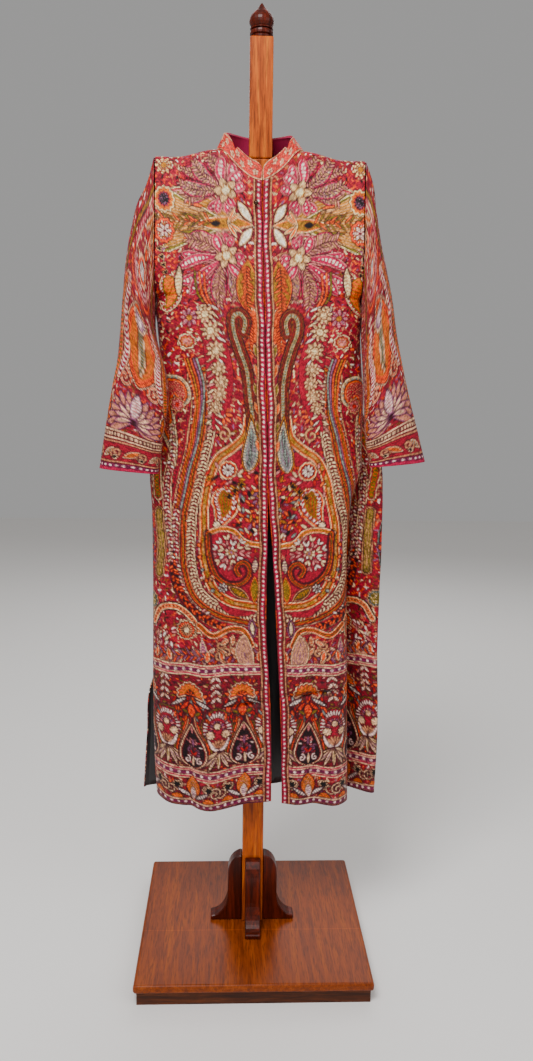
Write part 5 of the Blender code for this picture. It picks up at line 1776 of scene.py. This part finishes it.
@dataclass
class Collar:
    """The stand collar on the neck's edge, with round front corners and a crease on each side."""

    height: float = 0.032
    corner: float = 0.014
    lean: Point = (0.12, 0.50)
    left_lean: float = 0.30
    crease: float = 0.062
    crease_depth: float = 0.008
    crease_half_width: float = 0.006
    crease_inward: float = 0.004
    neck_half_depth: float = 0.040
    foot_gap: tuple[float, float] = (0.0006, 0.0014)
    lining_gap: float = 0.0021
    lining_inset: int = 12
    lining_drop: float = 0.002
    columns: int = 361
    rows: int = 37
    form: BodyForm = field(default_factory=BodyForm)

    def neck_edge(self, right: Shell, back: Shell, left: Shell) -> tuple[Array, Array]:
        """Gives the neck's edge, round by the back from front to front, and the cloth's directions.

        Args:
            right: The right front.
            back: The back.
            left: The left front.

        Returns:
            The edge's points and the directions.
        """
        edges, ways = [], []
        for shell, backwards in ((right, False), (back, False), (left, True)):
            limit = self.form.neck_half - (0.002 if shell is back else 0.0)
            at_neck = np.abs(shell.points[-1, :, 0]) <= limit
            edge, way = shell.points[-1][at_neck], shell.normals[-1][at_neck]
            edges.append(edge[::-1] if backwards else edge)
            ways.append(way[::-1] if backwards else way)
        return np.concatenate(edges), np.concatenate(ways)

    def grid(self, edge: Array, ways: Array) -> tuple[Array, Array]:
        """Raises the collar from the neck's edge.

        Args:
            edge: The neck's edge, in order.
            ways: The cloth's direction at each of its points.

        Returns:
            The collar's grid from its foot up, and each point's flat place.
        """
        steps = steps_along(edge)
        length = steps[-1]
        places = length * 0.5 * (1 - np.cos(math.pi * np.linspace(0.0, 1.0, self.columns))) * 0.25
        places += length * 0.75 * np.linspace(0.0, 1.0, self.columns)
        smooth = np.ones(9) / 9
        base = np.stack([np.interp(places, steps, edge[:, k]) for k in range(3)], axis=1)
        rise_way = np.convolve(np.pad(ways[:, 2], 4, "edge"), smooth, "valid")
        flat = np.maximum(0.0, np.interp(places, steps, rise_way))
        end = np.minimum(places, length - places)
        over = np.maximum(0.0, self.corner - end)
        rise = self.height - self.corner + np.sqrt(np.maximum(0.0, self.corner**2 - over**2))
        notch = np.exp(-(((end - self.crease) / self.crease_half_width) ** 2))
        rise = rise - self.crease_depth * notch
        inward = base[:, :2] / np.array([self.form.neck_half, self.neck_half_depth]) ** 2
        inward = -np.concatenate([inward, np.zeros((len(base), 1))], axis=1)
        inward /= np.linalg.norm(inward, axis=1, keepdims=True)
        lean = self.lean[0] + (self.lean[1] - self.lean[0]) * flat
        lean += self.left_lean * ease(base[:, 0] / self.form.neck_half)
        way = np.array([0.0, 0.0, 1.0]) + inward * lean[:, None]
        way /= np.linalg.norm(way, axis=1, keepdims=True)
        start = base + np.array([0.0, 0.0, 1.0]) * (self.foot_gap[0] + self.foot_gap[1] * flat)[:, None]
        up = np.linspace(0.0, 1.0, self.rows)[:, None, None]
        grid = start + (way * rise[:, None] + inward * self.crease_inward * notch[:, None]) * up
        places = places - length / 2
        sheet = np.stack([np.broadcast_to(places, grid.shape[:2]), up[..., 0] * rise], axis=-1)
        return grid, sheet

    def shells(self, right: Shell, back: Shell, left: Shell) -> tuple[Shell, Shell]:
        """Lays the collar and the lining inside it.

        Args:
            right: The right front.
            back: The back.
            left: The left front.

        Returns:
            The collar's shell and its lining's.
        """
        points, flat = self.grid(*self.neck_edge(right, back, left))
        normals = grid_normals(points)
        normals *= np.sign((normals * (points - np.array([0.0, 0.0, 1.5]))).sum())
        kept = slice(self.lining_inset, -self.lining_inset)
        inner = (points - normals * self.lining_gap)[:, kept]
        inner[-1, :, 2] -= self.lining_drop
        lining = Shell("collar_silk", inner, normals[:, kept], flat[:, kept], thickness=0.001)
        return Shell("collar_band", points, normals, flat), lining


@dataclass
class Button:
    """The bead at the neck."""

    radius: float = 0.0042
    cloth_half: float = 0.001
    gap: float = 0.0003
    place: tuple[float, float, float] = (-0.0075, 0.0, 1.419)
    form: BodyForm = field(default_factory=BodyForm)

    def build(self, finish: bpy.types.Material) -> bpy.types.Object:
        """Makes the bead in front of the wearer's right front.

        Args:
            finish: The metal.

        Returns:
            The bead.
        """
        x, _, z = self.place
        cloth = float(self.form.depth(np.array(z), np.array(x), Face.FRONT))
        y = cloth - self.cloth_half - self.gap - self.radius
        shape = bmesh.new()
        bmesh.ops.create_uvsphere(shape, u_segments=32, v_segments=20, radius=self.radius)
        bmesh.ops.translate(shape, verts=shape.verts, vec=(x, y, z))
        return mesh_object("button_bead", shape, finish)


def mesh_object(name: str, shape: bmesh.types.BMesh, finish: bpy.types.Material) -> bpy.types.Object:
    """Turns a bmesh into a smooth object with its finish.

    Args:
        name: The object's name.
        shape: The bmesh, which is freed.
        finish: The finish.

    Returns:
        The object.
    """
    bmesh.ops.recalc_face_normals(shape, faces=shape.faces)
    mesh = bpy.data.meshes.new(name)
    shape.to_mesh(mesh)
    shape.free()
    mesh.materials.append(finish)
    mesh.shade_smooth()
    made = bpy.data.objects.new(name, mesh)
    bpy.context.scene.collection.objects.link(made)
    return made


@dataclass
class Studio:
    """The camera where the photograph was taken, a pale floor and soft lights."""

    eye: tuple[float, float, float] = (-0.0459, -1.6707, 1.0901)
    yaw: float = 0.0393
    pitch: float = 0.1533
    roll: float = 0.0131
    focal_pixels: float = 891.0
    frame_pixels: int = 1061

    def place_camera(self) -> None:
        """Sets the camera up."""
        level_way = Vector((math.sin(self.yaw), math.cos(self.yaw), 0.0))
        forward = level_way * math.cos(self.pitch) - Vector((0.0, 0.0, math.sin(self.pitch)))
        across = Vector((math.cos(self.yaw), -math.sin(self.yaw), 0.0))
        up = across.cross(forward)
        level = across * math.cos(self.roll) + up * math.sin(self.roll)
        upright = up * math.cos(self.roll) - across * math.sin(self.roll)
        data = bpy.data.cameras.new("photograph")
        data.sensor_width = 36.0
        data.lens = 36.0 * self.focal_pixels / self.frame_pixels
        camera = bpy.data.objects.new("photograph", data)
        turn = Matrix((level, upright, -forward)).transposed().to_4x4()
        camera.matrix_world = Matrix.Translation(Vector(self.eye)) @ turn
        bpy.context.scene.collection.objects.link(camera)
        bpy.context.scene.camera = camera

    def lay_floor(self) -> None:
        """Lays a plain pale floor."""
        shape = bmesh.new()
        bmesh.ops.create_grid(shape, x_segments=1, y_segments=1, size=6.0)
        pale, _, shader = new_finish("pale studio floor")
        set_inputs(shader, {"Base Color": (*linear("F2EFEC"), 1.0), "Roughness": 0.9}, {})
        mesh_object("floor", shape, pale)

    def light(self) -> None:
        """Hangs a large soft light in front and above, a weaker one at the side and an even pale surround."""
        for name, place, size, power in (
            ("key", (-0.7, -1.7, 3.0), 1.3, 92.0),
            ("fill", (2.2, -2.2, 2.2), 2.0, 26.0),
            ("back", (0.5, 2.4, 2.8), 2.5, 40.0),
        ):
            data = bpy.data.lights.new(name, "AREA")
            data.energy = power
            data.size = size
            lamp = bpy.data.objects.new(name, data)
            lamp.location = place
            aim = Vector((0.0, 0.0, 0.9)) - Vector(place)
            lamp.rotation_euler = aim.to_track_quat("-Z", "Y").to_euler()
            bpy.context.scene.collection.objects.link(lamp)
        world = bpy.data.worlds.new("pale studio")
        world.use_nodes = True
        sky = world.node_tree.nodes["Background"]
        set_inputs(sky, {"Color": (*linear("F7F6F5"), 1.0), "Strength": 0.38}, {})
        bpy.context.scene.world = world


RIGHT_RINGS = tuple(Ring(*row) for row in (
    (0.1868, 1.499, 0.1875, 1.262, 0, 0, 0.038, 0),
    (0.1985, 1.458, 0.188, 1.24, 0, -0.006, 0.042, 0.25),
    (0.215, 1.42, 0.188, 1.218, -0.002, -0.016, 0.045, 0.5),
    (0.229, 1.37, 0.186, 1.196, -0.006, -0.03, 0.045, 0.75),
    (0.238, 1.318, 0.181, 1.172, -0.01, -0.045, 0.042, 1),
    (0.243, 1.262, 0.172, 1.146, -0.016, -0.058, 0.038, 1),
    (0.247, 1.205, 0.164, 1.115, -0.024, -0.066, 0.034, 1),
    (0.2515, 1.149, 0.161, 1.082, -0.036, -0.067, 0.032, 1),
    (0.26, 1.1, 0.1645, 1.048, -0.044, -0.062, 0.032, 1),
    (0.269, 1.046, 0.1715, 1.01, -0.052, -0.062, 0.029, 1),
    (0.2765, 0.9975, 0.1755, 0.976, -0.056, -0.062, 0.027, 1),
    (0.283, 0.953, 0.1805, 0.944, -0.06, -0.062, 0.025, 1),
))
LEFT_RINGS = tuple(Ring(*row) for row in (
    (0.1868, 1.499, 0.1875, 1.262, 0, 0, 0.038, 0),
    (0.1995, 1.466, 0.188, 1.24, 0, -0.006, 0.042, 0.25),
    (0.206, 1.432, 0.1885, 1.216, -0.002, -0.014, 0.045, 0.5),
    (0.212, 1.39, 0.1885, 1.192, -0.006, -0.024, 0.046, 0.75),
    (0.2195, 1.35, 0.1885, 1.168, -0.01, -0.036, 0.045, 1),
    (0.229, 1.308, 0.189, 1.143, -0.016, -0.046, 0.043, 1),
    (0.239, 1.258, 0.1895, 1.116, -0.024, -0.054, 0.04, 1),
    (0.2465, 1.205, 0.1905, 1.088, -0.032, -0.058, 0.037, 1),
    (0.2565, 1.152, 0.1915, 1.06, -0.04, -0.062, 0.034, 1),
    (0.27, 1.092, 0.1935, 1.028, -0.048, -0.062, 0.031, 1),
    (0.2855, 1.034, 0.1975, 0.996, -0.054, -0.062, 0.028, 1),
    (0.303, 0.97, 0.204, 0.96, -0.058, -0.062, 0.025, 1),
))
RIGHT_FRONT_FOLDS = tuple(Fold(*row) for row in (
    (0.18, 0.085, -0.006, 0.25, 0.75),
    (0.48, 0.11, 0.012, 0.25, 0.95),
    (0.64, 0.045, -0.007, 0.25, 0.82),
    (0.8, 0.075, 0.006, 0.25, 1.05),
    (0.62, 0.1, 0.005, 1, 1.42),
))
LEFT_FRONT_FOLDS = tuple(Fold(*row) for row in (
    (0.14, 0.09, 0.005, 0.25, 0.8),
    (0.32, 0.075, -0.007, 0.25, 0.88),
    (0.52, 0.08, 0.007, 0.25, 1),
    (0.56, 0.09, -0.004, 1, 1.42),
))
BACK_FOLDS = tuple(Fold(*row) for row in (
    (0.12, 0.05, 0.008, 0.25, 1),
    (0.22, 0.04, -0.007, 0.25, 0.9),
    (0.34, 0.055, 0.012, 0.25, 1.2),
    (0.46, 0.045, -0.009, 0.25, 1),
    (0.57, 0.05, 0.01, 0.25, 1.1),
    (0.68, 0.04, -0.006, 0.25, 0.9),
))
RIGHT_HEM = Curve(((0, 0.3124), (0.25, 0.303), (0.4, 0.297), (0.55, 0.295), (0.75, 0.301), (1, 0.313)))
LEFT_HEM = Curve(((0, 0.308), (0.3, 0.305), (0.7, 0.3035), (1, 0.304)))
BACK_HEM = Curve(((0, 0.304), (1, 0.304)))
RIGHT_FRONT_CREASES = tuple(Crease(*row) for row in (
    (((0, 510), (38, 506), (96, 498)), 5.5, -9),
    (((0, 523), (44, 519), (104, 511)), 7, 4),
    (((236, 1262), (190, 1216), (150, 1190)), 8, 2.4),
    (((238, 1224), (204, 1182), (172, 1130)), 7, -2.2),
    (((240, 1180), (214, 1130), (200, 1060)), 9, 2),
    (((52, 1486), (96, 1462), (150, 1452)), 7, -1.8),
    (((60, 1470), (100, 1420), (168, 1392)), 8, 1.4),
    (((20, 820), (60, 806), (118, 812)), 7, -1.6),
    (((30, 440), (90, 428), (150, 436)), 6, -1.4),
))
LEFT_FRONT_CREASES = tuple(Crease(*row) for row in (
    (((0, 519), (48, 524), (136, 538)), 5.5, -9),
    (((0, 532), (56, 537), (142, 551)), 7, 4),
    (((206, 1258), (168, 1220), (128, 1200)), 8, 2.2),
    (((208, 1216), (180, 1170), (156, 1110)), 7, -2.2),
    (((206, 1150), (190, 1096), (186, 1030)), 9, 1.8),
    (((50, 1484), (88, 1466), (140, 1458)), 7, -1.8),
    (((58, 1462), (104, 1414), (160, 1380)), 8, 1.3),
    (((22, 880), (70, 862), (110, 868)), 7, -1.5),
    (((60, 452), (110, 446), (170, 450)), 6, -1.3),
))
BACK_CREASES = tuple(Crease(*row) for row in (
    (((-200, 1390), (-120, 1366), (-40, 1376)), 8, -1.8),
    (((30, 1396), (110, 1370), (196, 1384)), 9, 1.8),
    (((-226, 1246), (-170, 1200), (-130, 1150)), 9, 2.4),
    (((-224, 1200), (-186, 1146), (-164, 1080)), 7, -2),
    (((222, 1250), (172, 1210), (120, 1186)), 9, 2.2),
    (((230, 1190), (200, 1140), (190, 1070)), 8, -2.2),
    (((-150, 960), (-70, 944), (20, 952)), 9, -1.6),
    (((40, 780), (110, 768), (180, 776)), 8, 1.6),
    (((-190, 530), (-110, 520), (-40, 527)), 5.5, -6.5),
    (((70, 516), (150, 522), (250, 512)), 5.5, -6),
    (((250, 640), (280, 632), (312, 640)), 5, -1.8),
))
RIGHT_SLEEVE_CREASES = tuple(Crease(*row) for row in (
    (((-70, 330), (-20, 300), (34, 286)), 8, 2.4),
    (((-64, 296), (-10, 268), (44, 262)), 6, -2.2),
    (((60, 250), (10, 222), (-46, 214)), 8, 2),
    (((90, 400), (110, 360), (104, 310)), 9, -2.2),
    (((-100, 396), (-120, 350), (-112, 296)), 9, 2.2),
    (((130, 250), (170, 226), (220, 220)), 7, -2),
    (((-220, 236), (-170, 214), (-124, 222)), 7, 2),
    (((-40, 150), (6, 138), (60, 144)), 7, -1.5),
))
LEFT_SLEEVE_CREASES = tuple(Crease(*row) for row in (
    (((66, 318), (20, 290), (-36, 282)), 8, 2.4),
    (((60, 284), (8, 258), (-46, 252)), 6, -2.2),
    (((-62, 238), (-14, 214), (42, 206)), 8, 2),
    (((-92, 390), (-112, 344), (-104, 300)), 9, -2.2),
    (((98, 388), (116, 340), (108, 290)), 9, 2),
    (((-134, 246), (-176, 222), (-222, 214)), 7, -2),
    (((214, 228), (168, 206), (122, 214)), 7, 2),
    (((44, 156), (0, 142), (-56, 148)), 7, -1.5),
))


def dress_stand() -> None:
    """Gives each part of the stand its wood, with the grain along its length."""
    upright = Teak("varnished teak post", "702800", "AE4A00", "D87002", Grain.ALONG_Z).make()
    across = Teak("varnished teak arm", "702800", "AE4A00", "D87002", Grain.ALONG_X).make()
    foot = Teak("varnished teak bracket", "2C0800", "481000", "6C1C00", Grain.ALONG_Z).make()
    board = Teak("varnished teak base", "6A2800", "843600", "9C4802", Grain.ALONG_Y, joint_y=-0.049).make()
    plinth = Teak("dark teak plinth", "2A1004", "4A2008", "6A3410", Grain.ALONG_X).make()
    for name, wood in (
        ("base_plinth", plinth), ("base_board", board), ("post_lower", upright), ("cross_arm", across),
        ("post_upper", upright), ("finial", foot), ("bracket_left", foot), ("bracket_back", foot),
        ("bracket_right", foot), ("bracket_front", foot),
    ):
        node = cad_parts[name]
        for place in node.material_slots:
            place.material = wood
        LOG.info("%s: %s", name, wood.name)


def add_piece(
    made: bpy.types.Object, node: str, shell: Shell | None = None
) -> None:
    """Puts a piece in the place of its CAD node, works out the area of its cloth and reports the piece.

    Args:
        made: The piece.
        node: The CAD node that it stands for.
        shell: The cloth's shell, if it is cloth.
    """
    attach(made, "root")
    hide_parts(node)
    if shell is not None:
        width, length = shell.cut()
        area = min(shell.area(), width * length)
    LOG.info("%s: %d faces", made.name, len(made.data.polygons))


def design_place(shell: Shell) -> tuple[Array, Array]:
    """Gives each point's place in the jacket's design, in mm.

    The design is mirrored about the centre, turns back where the side folds, and follows the hem.

    Args:
        shell: The cloth.

    Returns:
        The distance from the centre edge and the height.
    """
    side_turn, skirt_top, skirt = 240, 640, 330
    u, w = np.abs(shell.flat[..., 0]) / MM, shell.flat[..., 1] / MM
    u = np.where(u > side_turn, 2 * side_turn - u, u)
    return u, w - (w[0] - JacketDesign.hem) * ease((skirt_top - w) / skirt)


def main() -> None:
    """Builds the studio, the stand and the jacket, piece by piece."""
    logging.basicConfig(level=logging.INFO, format="%(name)s %(message)s")
    studio = Studio()
    studio.place_camera()
    studio.lay_floor()
    studio.light()
    cloth = Embroidery("hand embroidered wool").make()
    coral = Embroidery("embroidered coral silk", 0.0009, 0.0016, relief=0.0003).make()
    black = Silk("black silk lining", "1A1216", "0C080A").make()
    magenta = Silk("magenta silk lining", "B0164E", "8A0C38").make()
    dress_stand()
    back_shares = np.concatenate([np.linspace(0.0, 0.80, 109)[:-1], np.linspace(0.80, 1.0, 53)])
    right = Panel("front_right_cloth", Face.FRONT, Side.RIGHT, RIGHT_HEM, np.linspace(0, 1, 125), 701,
                  RIGHT_FRONT_FOLDS, RIGHT_FRONT_CREASES)
    left = Panel("front_left_cloth", Face.FRONT, Side.LEFT, LEFT_HEM, np.linspace(0, 1, 125), 701,
                 LEFT_FRONT_FOLDS, LEFT_FRONT_CREASES)
    back = Panel("back_cloth", Face.BACK, Side.LEFT, BACK_HEM, back_shares, 561, BACK_FOLDS, BACK_CREASES)
    shells = [panel.shell() for panel in (right, left, back)]
    for seed, shell in enumerate(shells):
        u, w = design_place(shell)
        dressing = JacketDesign(Needle(u, w, 1.0 + seed), open_edge=shell is not shells[2]).sew()
        made = shell.build((cloth, black), dressing)
        add_piece(made, shell.name.removesuffix("_cloth"), shell)
    inner = back.lining(shells[2])
    add_piece(inner.build((black, black)), "back_lining", inner)
    for name, side, rings, creases in (
        ("sleeve_right", Side.RIGHT, RIGHT_RINGS, RIGHT_SLEEVE_CREASES),
        ("sleeve_left", Side.LEFT, LEFT_RINGS, LEFT_SLEEVE_CREASES),
    ):
        shell = Sleeve(name + "_cloth", side, rings, creases).shell()
        dressing = SleeveDesign(Needle(shell.flat[..., 0] / MM, shell.flat[..., 1] / MM, 4.0)).sew()
        add_piece(shell.build((cloth, black), dressing), name, shell)
    collar, inner = Collar().shells(shells[0], shells[2], shells[1])
    needle = Needle(collar.flat[..., 0] / MM, collar.flat[..., 1] / MM, 6.0, SALMON, outline_shade=0.2)
    dressing = CollarDesign(needle, float(np.ptp(needle.u))).sew()
    add_piece(collar.build((coral, magenta), dressing), "collar", collar)
    add_piece(inner.build((magenta, magenta)), "collar_lining", inner)
    add_piece(Button().build(Brass("dark brass", "6A5040", "1C1412").make()), "button")


if __name__ == "__main__":
    main()
